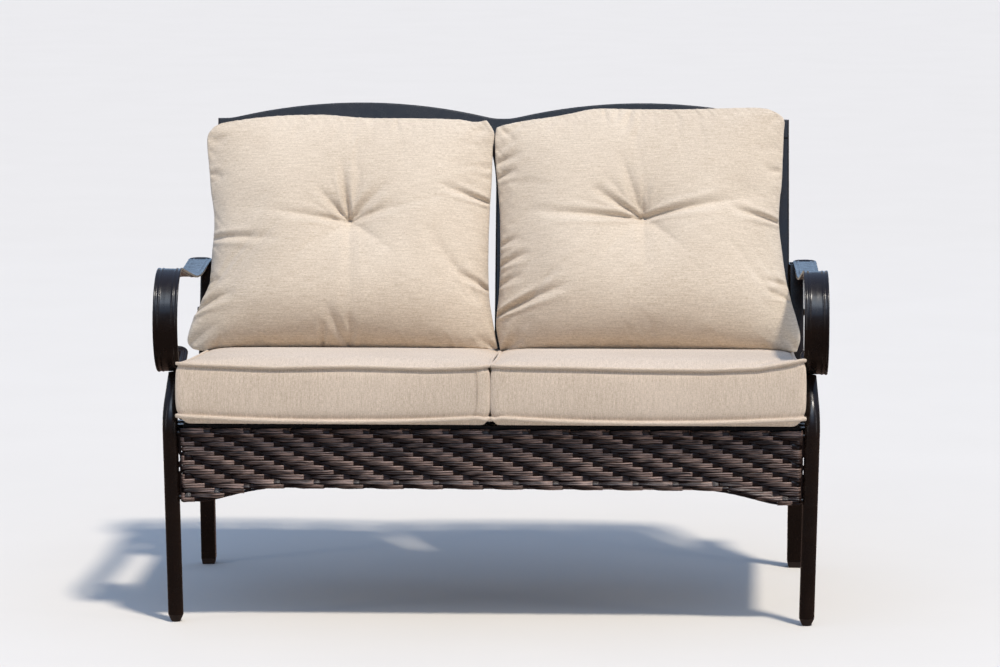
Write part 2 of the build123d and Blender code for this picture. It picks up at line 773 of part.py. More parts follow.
# Four sides drawn in between the corners, in the open line
def drawn_in_outline(centre_x, centre_y, half_width, half_depth, draw_in):
    left, right = centre_x - half_width, centre_x + half_width
    front, rear = centre_y - half_depth, centre_y + half_depth
    ThreePointArc((left, front), (centre_x, front + draw_in), (right, front))
    ThreePointArc((right, front), (right - draw_in, centre_y), (right, rear))
    ThreePointArc((right, rear), (centre_x, rear - draw_in), (left, rear))
    ThreePointArc((left, rear), (left + draw_in, centre_y), (left, front))


# The cushion's form, drawn in all round by a shell thickness
def seat_cushion_form(side, shell):
    centre_x = side * (cushion_gap + seat_cushion_width) / 2
    low_seam = rest_gap + seat_tuck_height + shell
    top_seam = top_seam_height - shell
    middle = (low_seam + top_seam) / 2
    tuck = ((rest_gap + shell, seat_tuck_inset, 1), (low_seam, 0, 1))
    band_draw_share = 1 - seat_band_bulge / seat_draw_in
    band = ((low_seam, 0, 1), (middle, 0, band_draw_share), (top_seam, 0, 1))
    crown = tuple(
        (top_seam + seat_crown * rise_share, seat_half_depth * inset_share, 1 - inset_share)
        for inset_share, rise_share in seat_crown_shares
    )
    with BuildPart() as form:
        for stretch in (tuck, band, crown):
            for height, inset, draw_share in stretch:
                half_width = seat_half_width - shell - inset
                half_depth = seat_half_depth - shell - inset
                corner = seat_corner_radius * half_depth / seat_half_depth
                with BuildSketch(seat_plane.offset(height)) as section:
                    with BuildLine():
                        drawn_in_outline(
                            centre_x,
                            seat_centre_setback,
                            half_width,
                            half_depth,
                            seat_draw_in * draw_share,
                        )
                    make_face()
                    fillet(section.vertices(), radius=corner)
            loft()
    return form.part


for side_name, side in SIDES:
    with BuildPart() as seat_cover:
        add(seat_cushion_form(side, 0))
        add(seat_cushion_form(side, cover_thickness), mode=Mode.SUBTRACT)
    seat_cover.part.label = f"seat_cushion_cover_{side_name}"
    export_step(seat_cover.part, f"parts/seat_cushion_cover_{side_name}.step")

    with BuildPart() as seat_foam:
        add(seat_cushion_form(side, cover_thickness + filling_clearance))
    seat_foam.part.label = f"seat_cushion_foam_{side_name}"
    export_step(seat_foam.part, f"parts/seat_cushion_foam_{side_name}.step")

# Back cushions: soft pillows, fuller low down, drawn in at the sides, cut flat where
# they stand on the seat, with one tuft that pulls the face in
back_half = back_cushion_width / 2
cushion_front = back_depth / 2 + back_cushion_gap
cushion_floor = seat_plane.offset(top_seam_height + seat_crown * back_cushion_floor_share)


def back_cushion_form(side, shell):
    centre_x = side * (cushion_gap / 2 + back_half)
    inner_height = back_cushion_height - 2 * shell
    with BuildPart() as form:
        for height_share, width_share, depth_share in back_cushion_shares:
            rise = back_cushion_start_rise + shell + inner_height * height_share
            half_width = back_half * width_share - shell
            face = back_cushion_depth * depth_share - shell
            edge = face * back_cushion_edge_share
            bulge = back_cushion_side_bulge * depth_share
            with BuildSketch(back_level(centre_x, rise, cushion_front)):
                with BuildLine():
                    rear_right = (half_width - bulge, -shell)
                    front_right = (half_width - bulge, -edge)
                    rear_left = (bulge - half_width, -shell)
                    front_left = (bulge - half_width, -edge)
                    side_middle = -(edge + shell) / 2
                    Line(rear_left, rear_right)
                    ThreePointArc(rear_right, (half_width, side_middle), front_right)
                    ThreePointArc(front_right, (0, -face), front_left)
                    ThreePointArc(front_left, (-half_width, side_middle), rear_left)
                make_face()
        loft()
        split(bisect_by=cushion_floor.offset(shell), keep=Keep.TOP)
        height_share, width_share, depth_share = back_cushion_shares[tuft_level]
        tuft_rise = back_cushion_start_rise + shell + inner_height * height_share
        tuft_forward = cushion_front + back_cushion_depth * depth_share - shell
        tuft_plane = Plane(
            origin=on_back(centre_x, tuft_rise, tuft_forward),
            x_dir=across,
            z_dir=-back_plane.y_dir,
        )
        with BuildSketch(tuft_plane):
            with BuildLine():
                button_edge = (tuft_button_radius, -tuft_depth)
                TangentArc((tuft_radius, 0), button_edge, tangent=(-1, 0))
                Polyline(
                    button_edge,
                    (0, -tuft_depth),
                    (0, tuft_depth),
                    (tuft_radius, tuft_depth),
                    (tuft_radius, 0),
                )
            make_face()
        tuft_axis = Axis(tuft_plane.origin, tuft_plane.y_dir)
        revolve(axis=tuft_axis, mode=Mode.SUBTRACT)
    return form.part


for side_name, side in SIDES:
    with BuildPart() as back_cover:
        add(back_cushion_form(side, 0))
        add(back_cushion_form(side, cover_thickness), mode=Mode.SUBTRACT)
    back_cover.part.label = f"back_cushion_cover_{side_name}"
    export_step(back_cover.part, f"parts/back_cushion_cover_{side_name}.step")

    with BuildPart() as back_fibre:
        add(back_cushion_form(side, cover_thickness + filling_clearance))
    back_fibre.part.label = f"back_cushion_fibre_{side_name}"
    export_step(back_fibre.part, f"parts/back_cushion_fibre_{side_name}.step")
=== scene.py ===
# %% [markdown]
# # A patio loveseat, dressed
#
# The hard parts of the loveseat come from CAD and stay where they are. This
# notebook gives them their finishes, and adds what a CAD solid can't show: the
# beaded arm bars, the woven skirt, the piped seat cushions and the soft pillows.
# Everything is in metres, with X along the seat, Y from the front to the back and
# Z up.

# %% Load the fixed frame
import json
from math import cos, pi, radians, sin, tan

import bmesh
import bpy
import numpy as np
from mathutils import Matrix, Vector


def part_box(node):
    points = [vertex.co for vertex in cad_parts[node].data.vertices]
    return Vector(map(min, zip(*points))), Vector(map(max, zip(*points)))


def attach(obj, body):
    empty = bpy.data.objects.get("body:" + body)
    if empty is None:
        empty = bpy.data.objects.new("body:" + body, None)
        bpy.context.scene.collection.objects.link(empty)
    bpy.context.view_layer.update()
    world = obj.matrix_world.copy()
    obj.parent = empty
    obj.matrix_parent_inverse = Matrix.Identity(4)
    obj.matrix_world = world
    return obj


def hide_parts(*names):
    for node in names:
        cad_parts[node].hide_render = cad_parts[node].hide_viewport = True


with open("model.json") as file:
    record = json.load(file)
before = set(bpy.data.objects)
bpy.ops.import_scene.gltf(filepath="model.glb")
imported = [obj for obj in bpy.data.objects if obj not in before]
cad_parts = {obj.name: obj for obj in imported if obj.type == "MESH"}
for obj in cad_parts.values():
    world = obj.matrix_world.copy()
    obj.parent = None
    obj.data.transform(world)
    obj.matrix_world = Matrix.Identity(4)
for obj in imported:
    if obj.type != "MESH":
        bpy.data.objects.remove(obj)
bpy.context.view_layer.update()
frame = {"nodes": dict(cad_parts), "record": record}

nodes = frame["nodes"]

# %% [markdown]
# Two slanted planes carry the soft parts. The seat plane falls to the back, and
# the back plane leans away from the rear legs' knees. A cushion is drawn flat in
# its own plane, with a height over it, and this cell turns such points into room
# coordinates.

# %% The seat plane and the back plane
MM = 0.001
rod_low, rod_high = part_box("skirt_top_rod")
FRONT_Y = (rod_low.y + rod_high.y) / 2
SEAT_HEIGHT = 0.380
SEAT_SLOPE = radians(5)
KNEE_SETBACK = 0.545
KNEE_HEIGHT = 0.330
RECLINE = radians(17)

SIDES = (("left", -1), ("right", 1))
ACROSS = np.array([1.0, 0.0, 0.0])
FORWARD = np.array([0.0, -1.0, 0.0])
SEAT_ORIGIN = np.array([0.0, FRONT_Y, SEAT_HEIGHT])
SEAT_BACKWARDS = np.array([0.0, cos(SEAT_SLOPE), -sin(SEAT_SLOPE)])
SEAT_UP = np.array([0.0, sin(SEAT_SLOPE), cos(SEAT_SLOPE)])
KNEE = np.array([0.0, FRONT_Y + KNEE_SETBACK, KNEE_HEIGHT])
BACK_UP = np.array([0.0, sin(RECLINE), cos(RECLINE)])
BACK_FORWARD = np.array([0.0, -cos(RECLINE), sin(RECLINE)])


def in_room(origin, axes, places):
    """origin + a1*axis1 + a2*axis2 + a3*axis3, for arrays of places."""
    return origin + sum(
        np.asarray(place, float)[..., None] * axis for place, axis in zip(places, axes)
    )


def seat_point(x, setback, height):
    """A point over the seat plane, from its setback behind the front feet."""
    return in_room(SEAT_ORIGIN, (ACROSS, SEAT_BACKWARDS, SEAT_UP), (x, setback, height))


def back_point(x, rise, forward):
    """A point in front of the back plane, from its rise over the knees."""
    return in_room(KNEE, (ACROSS, BACK_UP, BACK_FORWARD), (x, rise, forward))


# %% [markdown]
# Every new surface is a grid of points: a shape is a formula of two directions, and
# its quads join each point to its neighbours. The same slicing works on a grid of
# point numbers and on a grid of pattern coordinates, so the weave of a cloth
# always follows its surface.

# %% Grids of points and the meshes made from them
def cells(grid):
    """The four corners of each cell of a grid, as an array with 4 in its second axis."""
    corners = (grid[:-1, :-1], grid[:-1, 1:], grid[1:, 1:], grid[1:, :-1])
    return np.stack(corners, axis=2).reshape(-1, 4, *grid.shape[2:])


def numbered(rows, columns, first=0, closed=False):
    """Point numbers of a grid, with the first column again at the end if it closes."""
    grid = first + np.arange(rows * columns).reshape(rows, columns)
    return np.concatenate([grid, grid[:, :1]], axis=1) if closed else grid


def flat_pattern(along, across):
    """Pattern coordinates in metres: one for each row and one for each column."""
    return np.stack(np.meshgrid(along, across, indexing="ij"), axis=-1)


def linked(name, data):
    """A new object that holds this mesh, lamp or camera, put into the scene."""
    holder = bpy.data.objects.new(name, data)
    bpy.context.scene.collection.objects.link(holder)
    return holder


def make_piece(name, points, patches, body, slot, finish, merged=False):
    """One mesh object. A patch is a grid of point numbers and its grid of pattern
    coordinates; the object stays at the origin and its place is in its points."""
    quads = np.concatenate([cells(numbers) for numbers, _ in patches])
    pattern = np.concatenate([cells(coords) for _, coords in patches]).reshape(-1, 2)
    mesh = bpy.data.meshes.new(name)
    mesh.from_pydata(np.asarray(points, float).tolist(), [], quads.tolist())
    mesh.uv_layers.new(name="pattern").data.foreach_set("uv", pattern.ravel())
    mesh.polygons.foreach_set("use_smooth", np.full(len(quads), True))
    mesh.materials.append(finish.material)
    piece = linked(name, mesh)
    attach(piece, body)
    if merged:
        merge_doubles(piece)
    print(f"{name}: {len(points)} points, {len(quads)} quads")
    return piece


def lengths_along(path):
    """Distance along a path to each of its points, starting at 0."""
    steps = np.linalg.norm(np.diff(path, axis=0), axis=1)
    return np.concatenate([[0.0], np.cumsum(steps)])


def resampled(path, count):
    """The same path with evenly spaced points."""
    path = np.asarray(path, float)
    measure = lengths_along(path)
    stops = np.linspace(0, measure[-1], count)
    return np.stack([np.interp(stops, measure, column) for column in path.T], axis=1)


def smooth_line(places, per_span=12):
    """Catmull-Rom curve through the places."""
    p = np.asarray(places, float)
    p = np.concatenate([[2 * p[0] - p[1]], p, [2 * p[-1] - p[-2]]])
    t = np.linspace(0, 1, per_span, endpoint=False)[:, None]
    spans = []
    for a, b, c, d in zip(p[:-3], p[1:-2], p[2:-1], p[3:]):
        spans.append(
            0.5 * (2 * b + (c - a) * t + (2 * a - 5 * b + 4 * c - d) * t**2
                   + (3 * b - a - 3 * c + d) * t**3)
        )
    return np.concatenate([*spans, p[-2:-1]])


def unit(vectors):
    return vectors / np.linalg.norm(vectors, axis=-1, keepdims=True)


def tube_grid(path, radius, sides, up, closed=False):
    """path + radius * (cos t * side + sin t * up): a ring of points at each path point."""
    path = np.asarray(path, float)
    if closed:
        ahead, behind = np.roll(path, -1, axis=0), np.roll(path, 1, axis=0)
        tangent = unit(ahead - behind)
    else:
        tangent = unit(np.gradient(path, axis=0))
    side = unit(np.cross(tangent, up))
    lift = np.cross(side, tangent)
    turn = np.linspace(0, 2 * pi, sides, endpoint=False)
    rings = np.outer(np.cos(turn), np.ones(3))[None] * side[:, None]
    rings = rings + np.outer(np.sin(turn), np.ones(3))[None] * lift[:, None]
    size = np.broadcast_to(np.asarray(radius, float), (len(path),))[:, None, None]
    return path[:, None] + size * rings


def closed_ends(grid):
    """A grid of rings with a ring of no size added at each end, so that the tube shuts."""
    tips = grid[[0, -1]].mean(axis=1, keepdims=True)
    first, last = np.broadcast_to(tips, (2, *grid.shape[1:]))
    return np.concatenate([first[None], grid, last[None]])


def merge_doubles(piece, distance=0.00002):
    """Closes seams and poles, and turns every face outwards."""
    work = bmesh.new()
    work.from_mesh(piece.data)
    bmesh.ops.remove_doubles(work, verts=work.verts, dist=distance)
    bmesh.ops.dissolve_degenerate(work, edges=work.edges, dist=distance / 4)
    bmesh.ops.recalc_face_normals(work, faces=work.faces)
    work.to_mesh(piece.data)
    work.free()


def joined_tubes(tubes):
    """Points and patches of many tubes in one mesh. A tube is its rings, the pattern
    along them with a value for each closed end, and the pattern around them."""
    points, patches, first = [], [], 0
    for rings, along, around in tubes:
        rings = closed_ends(rings)
        numbers = numbered(*rings.shape[:2], first=first, closed=True)
        patches.append((numbers, flat_pattern(along, around)))
        points.append(rings.reshape(-1, 3))
        first += rings.shape[0] * rings.shape[1]
    return np.concatenate(points), patches


def tube_piece(name, path, radius, sides, up, body, slot, finish, closed=False):
    """A round cord along a path. It joins its own start, or each end closes on a point."""
    path = np.asarray(path, float)
    rings = tube_grid(path, radius, sides, up, closed)
    measure = lengths_along(path)
    if closed:
        count = len(rings)
        measure = np.append(measure, measure[-1] + np.linalg.norm(path[0] - path[-1]))
        numbers = numbered(count, sides, closed=True)
        numbers = np.concatenate([numbers, numbers[:1]])
    else:
        rings = closed_ends(rings)
        measure = np.concatenate([[0.0], measure, measure[-1:]])
        numbers = numbered(len(rings), sides, closed=True)
    around = np.linspace(0, 2 * pi * np.max(radius), sides + 1)
    patches = [(numbers, flat_pattern(measure, around))]
    return make_piece(name, rings.reshape(-1, 3), patches, body, slot, finish, merged=True)


# %% [markdown]
# A material is arithmetic on patterns. A small class wraps one socket of a
# material, so `weave * 0.4 + slubs` adds the two Math nodes that it says. Other
# nodes come from one method, `add`, which sets a node's own settings first and
# then its sockets.

# %% Arithmetic on material sockets
class Signal:
    """A number or colour that varies over a surface: one output socket of a finish."""

    def __init__(self, finish, socket):
        self.finish = finish
        self.socket = socket

    def calc(self, operation, *others):
        inputs = dict(enumerate((self, *others)))
        return self.finish.add("Math", "Value", {"operation": operation}, inputs)

    def __add__(self, other):
        return self.calc("ADD", other)

    def __mul__(self, other):
        return self.calc("MULTIPLY", other)

    def __sub__(self, other):
        return self.calc("SUBTRACT", other)

    def sine(self):
        return self.calc("SINE")

    def between(self, low, high, to_low=0.0, to_high=1.0):
        """Smoothly from to_low to to_high as the signal goes from low to high."""
        settings = {"interpolation_type": "SMOOTHSTEP"}
        inputs = {"Value": self, "From Min": low, "From Max": high}
        inputs.update({"To Min": to_low, "To Max": to_high})
        return self.finish.add("MapRange", "Result", settings, inputs)


class NodePlan:
    """Nodes and links of one material or sky, written as expressions."""

    def __init__(self, tree):
        self.nodes = tree.nodes
        self.links = tree.links

    def add(self, kind, output, settings=None, inputs=None):
        """A node of this kind, its settings, then its sockets; gives back one output."""
        node = self.nodes.new("ShaderNode" + kind)
        for setting, value in (settings or {}).items():
            setattr(node, setting, value)
        for socket, value in (inputs or {}).items():
            target = node.inputs[socket]
            if isinstance(value, Signal):
                self.links.new(value.socket, target)
            else:
                target.default_value = value
        return Signal(self, node.outputs[output])

    def object_place(self):
        return self.add("TexCoord", "Object")

    def cloth_place(self):
        return self.add("UVMap", "UV", {"uv_map": "pattern"})

    def noise(self, place, scale, detail=2.0, roughness=0.5):
        inputs = {"Vector": place, "Scale": scale, "Detail": detail, "Roughness": roughness}
        return self.add("TexNoise", "Fac", {}, inputs)

    def streaks(self, place, per_metre, detail=2.0, roughness=0.5):
        """Noise over pattern coordinates that are scaled differently along and across."""
        scaled = self.add("Mapping", "Vector", {}, {"Vector": place, "Scale": (*per_metre, 1.0)})
        return self.noise(scaled, 1.0, detail, roughness)

    def blend(self, amount, low, high):
        """A colour between two, by an amount from 0 to 1."""
        inputs = {0: amount, 6: low, 7: high}
        return self.add("Mix", 2, {"data_type": "RGBA"}, inputs)

    def bump(self, height, distance, strength=1.0):
        inputs = {"Height": height, "Distance": distance, "Strength": strength}
        return self.add("Bump", "Normal", {}, inputs)


class Finish(NodePlan):
    """A material whose shader is one Principled BSDF, with its even values set."""

    def __init__(self, name, **values):
        self.material = bpy.data.materials.new(name)
        self.material.use_nodes = True
        super().__init__(self.material.node_tree)
        self.shader = self.nodes["Principled BSDF"]
        for socket, value in values.items():
            self.shader.inputs[socket.replace("_", " ")].default_value = value

    def feed(self, **signals):
        for socket, signal in signals.items():
            self.links.new(signal.socket, self.shader.inputs[socket.replace("_", " ")])


def colour(red, green, blue):
    return (red, green, blue, 1.0)


# %% [markdown]
# ## Powder coat
#
# The frame is steel under a near-black espresso powder coat. Powder melts into a
# skin with a faint orange-peel ripple, so the sheen breaks up very slightly. The
# brown only shows where light rakes along a tube.

# %% Powder coat, plastic and floor
POWDER_RIPPLE = 0.00012
powder_coat = Finish("espresso_powder_coat", Specular_IOR_Level=0.27)
place = powder_coat.object_place()
mottle = powder_coat.noise(place, 9.0, 4.0)
powder_coat.feed(
    Base_Color=powder_coat.blend(
        mottle.between(0.35, 0.7), colour(0.0060, 0.0032, 0.0022), colour(0.0105, 0.0055, 0.0036)
    ),
    Roughness=powder_coat.noise(place, 70.0, 3.0).between(0.2, 0.8, 0.20, 0.30),
    Normal=powder_coat.bump(powder_coat.noise(place, 420.0, 2.0), POWDER_RIPPLE, 0.12),
)

foot_plastic = Finish("black_foot_plastic", Specular_IOR_Level=0.35)
place = foot_plastic.object_place()
foot_plastic.feed(
    Base_Color=foot_plastic.blend(
        foot_plastic.noise(place, 60.0, 4.0),
        colour(0.012, 0.008, 0.006), colour(0.035, 0.02, 0.014),
    ),
    Roughness=foot_plastic.noise(place, 140.0, 3.0).between(0.2, 0.8, 0.42, 0.62),
    Normal=foot_plastic.bump(foot_plastic.noise(place, 900.0, 2.0), 0.0001, 0.6),
)

pale_floor = Finish("pale_floor", Roughness=0.9, Specular_IOR_Level=0.1)
place = pale_floor.object_place()
pale_floor.feed(
    Base_Color=pale_floor.blend(
        pale_floor.noise(place, 3.0, 3.0), colour(0.610, 0.574, 0.522), colour(0.635, 0.599, 0.547)
    )
)

# %% [markdown]
# ## Resin strand
#
# The skirt is woven from flat resin strand: extruded plastic with fine ridges
# along its length, dark brown. Its colour is painted with light and shade along each
# float: painted shade where the float starts, tucked behind a stake, and a painted
# highlight towards its end, where it bends over a stake. The pattern runs along each
# strand, so it reads the strand's own coordinates: U counts the floats from one dip
# to the next, and V is the distance across in metres.

# %% Resin strand
resin_strand = Finish("brown_resin_strand", Specular_IOR_Level=0.22)
place = resin_strand.cloth_place()
ridges = resin_strand.streaks(place, (2.0, 520.0), 3.0, 0.6)
lengths = resin_strand.streaks(place, (1.3, 30.0), 1.0)
along = resin_strand.add("SeparateXYZ", "X", {}, {0: place})
float_share = along.calc("FRACT")
# Painted light along each float: painted shade at its start and a painted highlight towards its
# end
painted_float_light = float_share.between(0.12, 0.60) * 0.45 + float_share.between(0.55, 0.98) * 0.65
streaked = ridges.between(0.40, 0.62) + 0.25
pale = painted_float_light * streaked + (lengths - 0.5) * 0.8
resin_strand.feed(
    Base_Color=resin_strand.blend(
        pale.between(0.05, 1.15), colour(0.0115, 0.0052, 0.0042), colour(0.245, 0.165, 0.135)
    ),
    Roughness=ridges.between(0.2, 0.8, 0.44, 0.28),
    Normal=resin_strand.bump(ridges, 0.0006, 0.9),
)

# %% [markdown]
# ## Cushion cloth
#
# The cushions are covered in a beige heathered weave: threads of slightly
# different shades, with short thick slubs along both directions. One thread is
# about half a millimetre, so what the eye sees is the slubs. The weave reads the
# cloth's own coordinates in metres, so it runs with the cloth on every face.

# %% Cushion cloth
THREADS_PER_METRE = 1500.0


def cushion_cloth(name, grain, pale, dark, bump=0.0003):
    """A heathered weave. grain is which way the stronger slubs run: 0 for U, 1 for V."""
    cloth = Finish(name, Roughness=0.9, Specular_IOR_Level=0.25, Sheen_Weight=0.15)
    cloth.shader.inputs["Sheen Roughness"].default_value = 0.6
    place = cloth.cloth_place()
    fine, coarse = (150.0, 1000.0), (28.0, 420.0)
    if grain == 1:
        fine, coarse = fine[::-1], coarse[::-1]
    slubs = cloth.streaks(place, fine, 3.0, 0.6)
    crossing = cloth.streaks(place, fine[::-1], 3.0, 0.6)
    bands = cloth.streaks(place, coarse, 2.0, 0.6)
    flecks = cloth.streaks(place, (850.0, 850.0), 2.0)
    soiling = cloth.noise(cloth.object_place(), 5.0, 3.0)
    split = cloth.add("SeparateXYZ", "X", {}, {0: place})
    warp = (split * THREADS_PER_METRE * pi).sine()
    weft = (Signal(cloth, split.socket.node.outputs["Y"]) * THREADS_PER_METRE * pi).sine()
    weave = warp * weft
    shade = slubs * 0.38 + crossing * 0.22 + flecks * 0.3 + bands * 0.22 + soiling * 0.1
    cloth.feed(
        Base_Color=cloth.blend(shade.between(0.43, 0.79), dark, pale),
        Normal=cloth.bump(slubs * 0.6 + crossing * 0.4 + weave * 0.12, bump, 0.7),
    )
    return cloth


PILLOW_PALE, PILLOW_DARK = colour(0.745, 0.640, 0.512), colour(0.415, 0.326, 0.234)
# The seat cloth, also used for the piping, is painted darker than the pillow cloth: painted shade
# that stands in for the shade on the seat cushions' fronts, laid over the whole cover
SEAT_PALE, SEAT_DARK = colour(0.705, 0.578, 0.458), colour(0.375, 0.290, 0.205)
pillow_cloth = cushion_cloth("beige_pillow_cloth", 0, PILLOW_PALE, PILLOW_DARK)
seat_cloth = cushion_cloth("beige_seat_cloth", 1, SEAT_PALE, SEAT_DARK)
piping_cloth = cushion_cloth("beige_piping_cloth", 0, SEAT_PALE, SEAT_DARK, 0.0004)

# %% [markdown]
# ## Finishing the CAD parts
#
# A CAD part whose shape is right stays. Its own object only gets a better
# material, chosen by the record's material slot.

# %% Give the CAD parts their finishes
SLOT_FINISH = {
    "frame": powder_coat,
    "hardware": powder_coat,
    "black_plastic": foot_plastic,
    "wicker": resin_strand,
    "cushion_cover": pillow_cloth,
    "cushion_filling": pillow_cloth,
}
for part in frame["record"]["subparts"]:
    for holder in nodes[part["node"]].material_slots:
        holder.material = SLOT_FINISH[part["material_slot"]].material

# %% [markdown]
# ## Arm bars
#
# Each arm is one flat bar with two rounded beads along its whole edge. It falls a
# little from the rear leg, climbs to a crest, curls round the scroll and ends in a
# flatter tongue. The bar is made flat first, as rings of a rounded rectangle that
# shrink towards its middle line, and its thickness depends only on the distance
# from the edge, which is what gives the bead round the ends too. The flat bar is
# then bent along the arm's line.

# %% The arm's line, seen from the side
ARM_SPREAD = 1.222
ARM_WIDTH = 0.047
ARM_THICKNESS = 0.0045
ARM_CORNER = 0.020
SCROLL_RADIUS = 0.099
SCROLL_SETBACK = 0.079
ARM_CREST = 0.6655
ARM_REAR_DROP = 0.047
ARM_FALL = radians(10.5)
ARM_REAR_RISE = radians(2.5)
ARM_DIP_RADIUS = 0.900
TONGUE_RADIUS = 0.187
TONGUE_TURN = radians(34)

arm_end_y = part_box("arm_strap_left")[1].y - ARM_THICKNESS * sin(ARM_REAR_RISE)
scroll_y = FRONT_Y + SCROLL_SETBACK
scroll_z = ARM_CREST - SCROLL_RADIUS
crest_y = scroll_y + SCROLL_RADIUS * sin(ARM_FALL)
crest_z = scroll_z + SCROLL_RADIUS * cos(ARM_FALL)
rear_z = ARM_CREST - ARM_REAR_DROP
rear_fall = (arm_end_y - crest_y) * tan(ARM_REAR_RISE)
dip_reach = (crest_z - rear_z + rear_fall) / (tan(ARM_FALL) + tan(ARM_REAR_RISE))
dip_turn = ARM_FALL + ARM_REAR_RISE
dip_trim = ARM_DIP_RADIUS * tan(dip_turn / 2)

# Each stretch of the line is its length and how far it turns, anticlockwise
ARM_STRETCHES = (
    ((arm_end_y - crest_y - dip_reach) / cos(ARM_REAR_RISE) - dip_trim, 0.0),
    (ARM_DIP_RADIUS * dip_turn, -dip_turn),
    (dip_reach / cos(ARM_FALL) - dip_trim, 0.0),
    (SCROLL_RADIUS * (pi + ARM_FALL), pi + ARM_FALL),
    (TONGUE_RADIUS * TONGUE_TURN, TONGUE_TURN),
)
LINE_STEP = 0.0005


def bent_line(start, heading, stretches):
    """Walks each stretch in small steps, turning evenly: points and headings."""
    turns, steps = [], []
    for length, turn in stretches:
        count = max(2, int(round(length / LINE_STEP)))
        turns.append(np.full(count, turn / count))
        steps.append(np.full(count, length / count))
    turns, steps = np.concatenate(turns), np.concatenate(steps)
    headings = heading + np.cumsum(turns)
    middle = headings - turns / 2
    moves = steps[:, None] * np.stack([np.cos(middle), np.sin(middle)], axis=1)
    points = np.concatenate([[start], start + np.cumsum(moves, axis=0)])
    return points, np.append(heading, headings), np.append(0.0, np.cumsum(steps))


arm_points, arm_headings, arm_measure = bent_line(
    np.array([arm_end_y, rear_z]), pi + ARM_REAR_RISE, ARM_STRETCHES
)
print("arm bar length", round(float(arm_measure[-1]), 3))

# %% [markdown]
# The two beads are a list of places across the edge: how far in from the edge, and how
# far off the middle of the bar's thickness.

# %% The beaded bar, made flat and then bent
BEAD = np.array([
    (0.0, 0.0), (0.15, 0.95), (0.7, 1.65), (1.7, 2.15), (2.9, 2.2), (4.0, 1.75), (4.8, 1.1),
    (5.6, 0.8), (7.0, 0.75), (8.1, 0.9), (8.9, 1.45), (9.8, 1.9), (10.7, 1.95), (11.6, 1.6),
    (12.4, 1.05), (13.2, 0.8), (14.5, 0.75), (19.9, 0.75), (21.5, 0.8), (23.5, 0.85),
]) * MM
ALONG_STEP = 0.006
CORNER_STEPS = 8
END_STEPS = 6


def rounded_ring(length, width, corner, inset):
    """Points round a rounded rectangle, moved in from its edge by the inset."""
    centre = max(corner, inset)
    radius = max(corner - inset, 0.0)
    straight = np.linspace(0, 1, int(length / ALONG_STEP), endpoint=False)
    across = np.linspace(0, 1, END_STEPS, endpoint=False)
    sweep = np.linspace(0, pi / 2, CORNER_STEPS, endpoint=False)
    far, wide = length - centre, width - centre
    sides = (
        ((centre, inset), (far, inset), straight, (far, centre), -pi / 2),
        ((length - inset, centre), (length - inset, wide), across, (far, wide), 0.0),
        ((far, width - inset), (centre, width - inset), straight, (centre, wide), pi / 2),
        ((inset, wide), (inset, centre), across, (centre, centre), pi),
    )
    points = []
    for start, stop, share, middle, turn in sides:
        start, stop = np.array(start), np.array(stop)
        points.append(start + share[:, None] * (stop - start))
        arc = turn + sweep
        points.append(np.array(middle) + radius * np.stack([np.cos(arc), np.sin(arc)], axis=1))
    return np.concatenate(points)


def bent_bar(side_name, side):
    """The lower face's rings, then the upper face's, laid along the arm's line."""
    insets = np.concatenate([BEAD[::-1, 0], BEAD[1:, 0]])
    lift = np.concatenate([-BEAD[::-1, 1], BEAD[1:, 1]])[:, None]
    length = arm_measure[-1]
    flat = np.stack([rounded_ring(length, ARM_WIDTH, ARM_CORNER, inset) for inset in insets])
    along = flat[..., 0]
    line_y = np.interp(along, arm_measure, arm_points[:, 0])
    line_z = np.interp(along, arm_measure, arm_points[:, 1])
    heading = np.interp(along, arm_measure, arm_headings)
    # The outer face is the line itself, so the bar's middle lies half its thickness inside
    inward = ARM_THICKNESS / 2 - lift
    y = line_y - np.sin(heading) * inward
    z = line_z + np.cos(heading) * inward
    x = side * (ARM_SPREAD / 2 + ARM_WIDTH / 2 - flat[..., 1])
    points = np.stack([x, y, z], axis=-1)
    numbers = numbered(*flat.shape[:2], closed=True)
    if side < 0:
        numbers = numbers[:, ::-1]
    around = lengths_along(flat[len(flat) // 2])
    pattern = flat_pattern(np.arange(len(flat)) * MM, np.append(around, around[-1] + MM))
    bar = make_piece(
        f"arm_bar_{side_name}", points.reshape(-1, 3), [(numbers, pattern)], "frame", "frame",
        powder_coat, merged=True,
    )
    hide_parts(f"arm_strap_{side_name}")


for side_name, side in SIDES:
    bent_bar(side_name, side)

# %% [markdown]
# ## Woven skirt
#
# The skirt is a three-over, one-under weave. Flat strands run level across upright
# stakes: each passes over three stakes and under the next, and the row below does
# the same one stake further along, which makes the slanting pattern. A strand is a
# lens-shaped profile carried along a line that steps in and out of the stakes.

# %% Sizes of the weave
SKIRT_TOP = 0.3705
SKIRT_BOTTOM = 0.2585
SKIRT_END_BOTTOM = 0.231
SKIRT_LEG_GAP = 0.0012
STAKE_PITCH = 0.0188
ROW_PITCH = 0.00885
FIRST_ROW_DROP = 0.0030
WEAVE_SHIFT = -0.5
FLOAT_CYCLE = 4
STRAND_HEIGHT = 0.0090
STRAND_THICKNESS = 0.0017
WEAVE_MIDDLE = 0.0010
WEAVE_DEPTH = 0.0024
SKIRT_FLAT = 0.392
SKIRT_FOOT = 0.553
LEG_FOOT_X = 0.5975
LEG_BOW = 0.008
LEG_BOW_HEIGHT = 0.395
LEG_RADIUS = 0.0145
END_WRAP = 0.007
BINDING_RADIUS = 0.0023
ROD_RADIUS = (rod_high.z - rod_low.z) / 2
ROD_SPREAD = 0.0066
ROD_COVER = 0.0023
end_low, end_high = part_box("skirt_end_rod_right")
END_ROD_X = (end_low.x + end_high.x) / 2
END_ROD_SHARE = 0.8


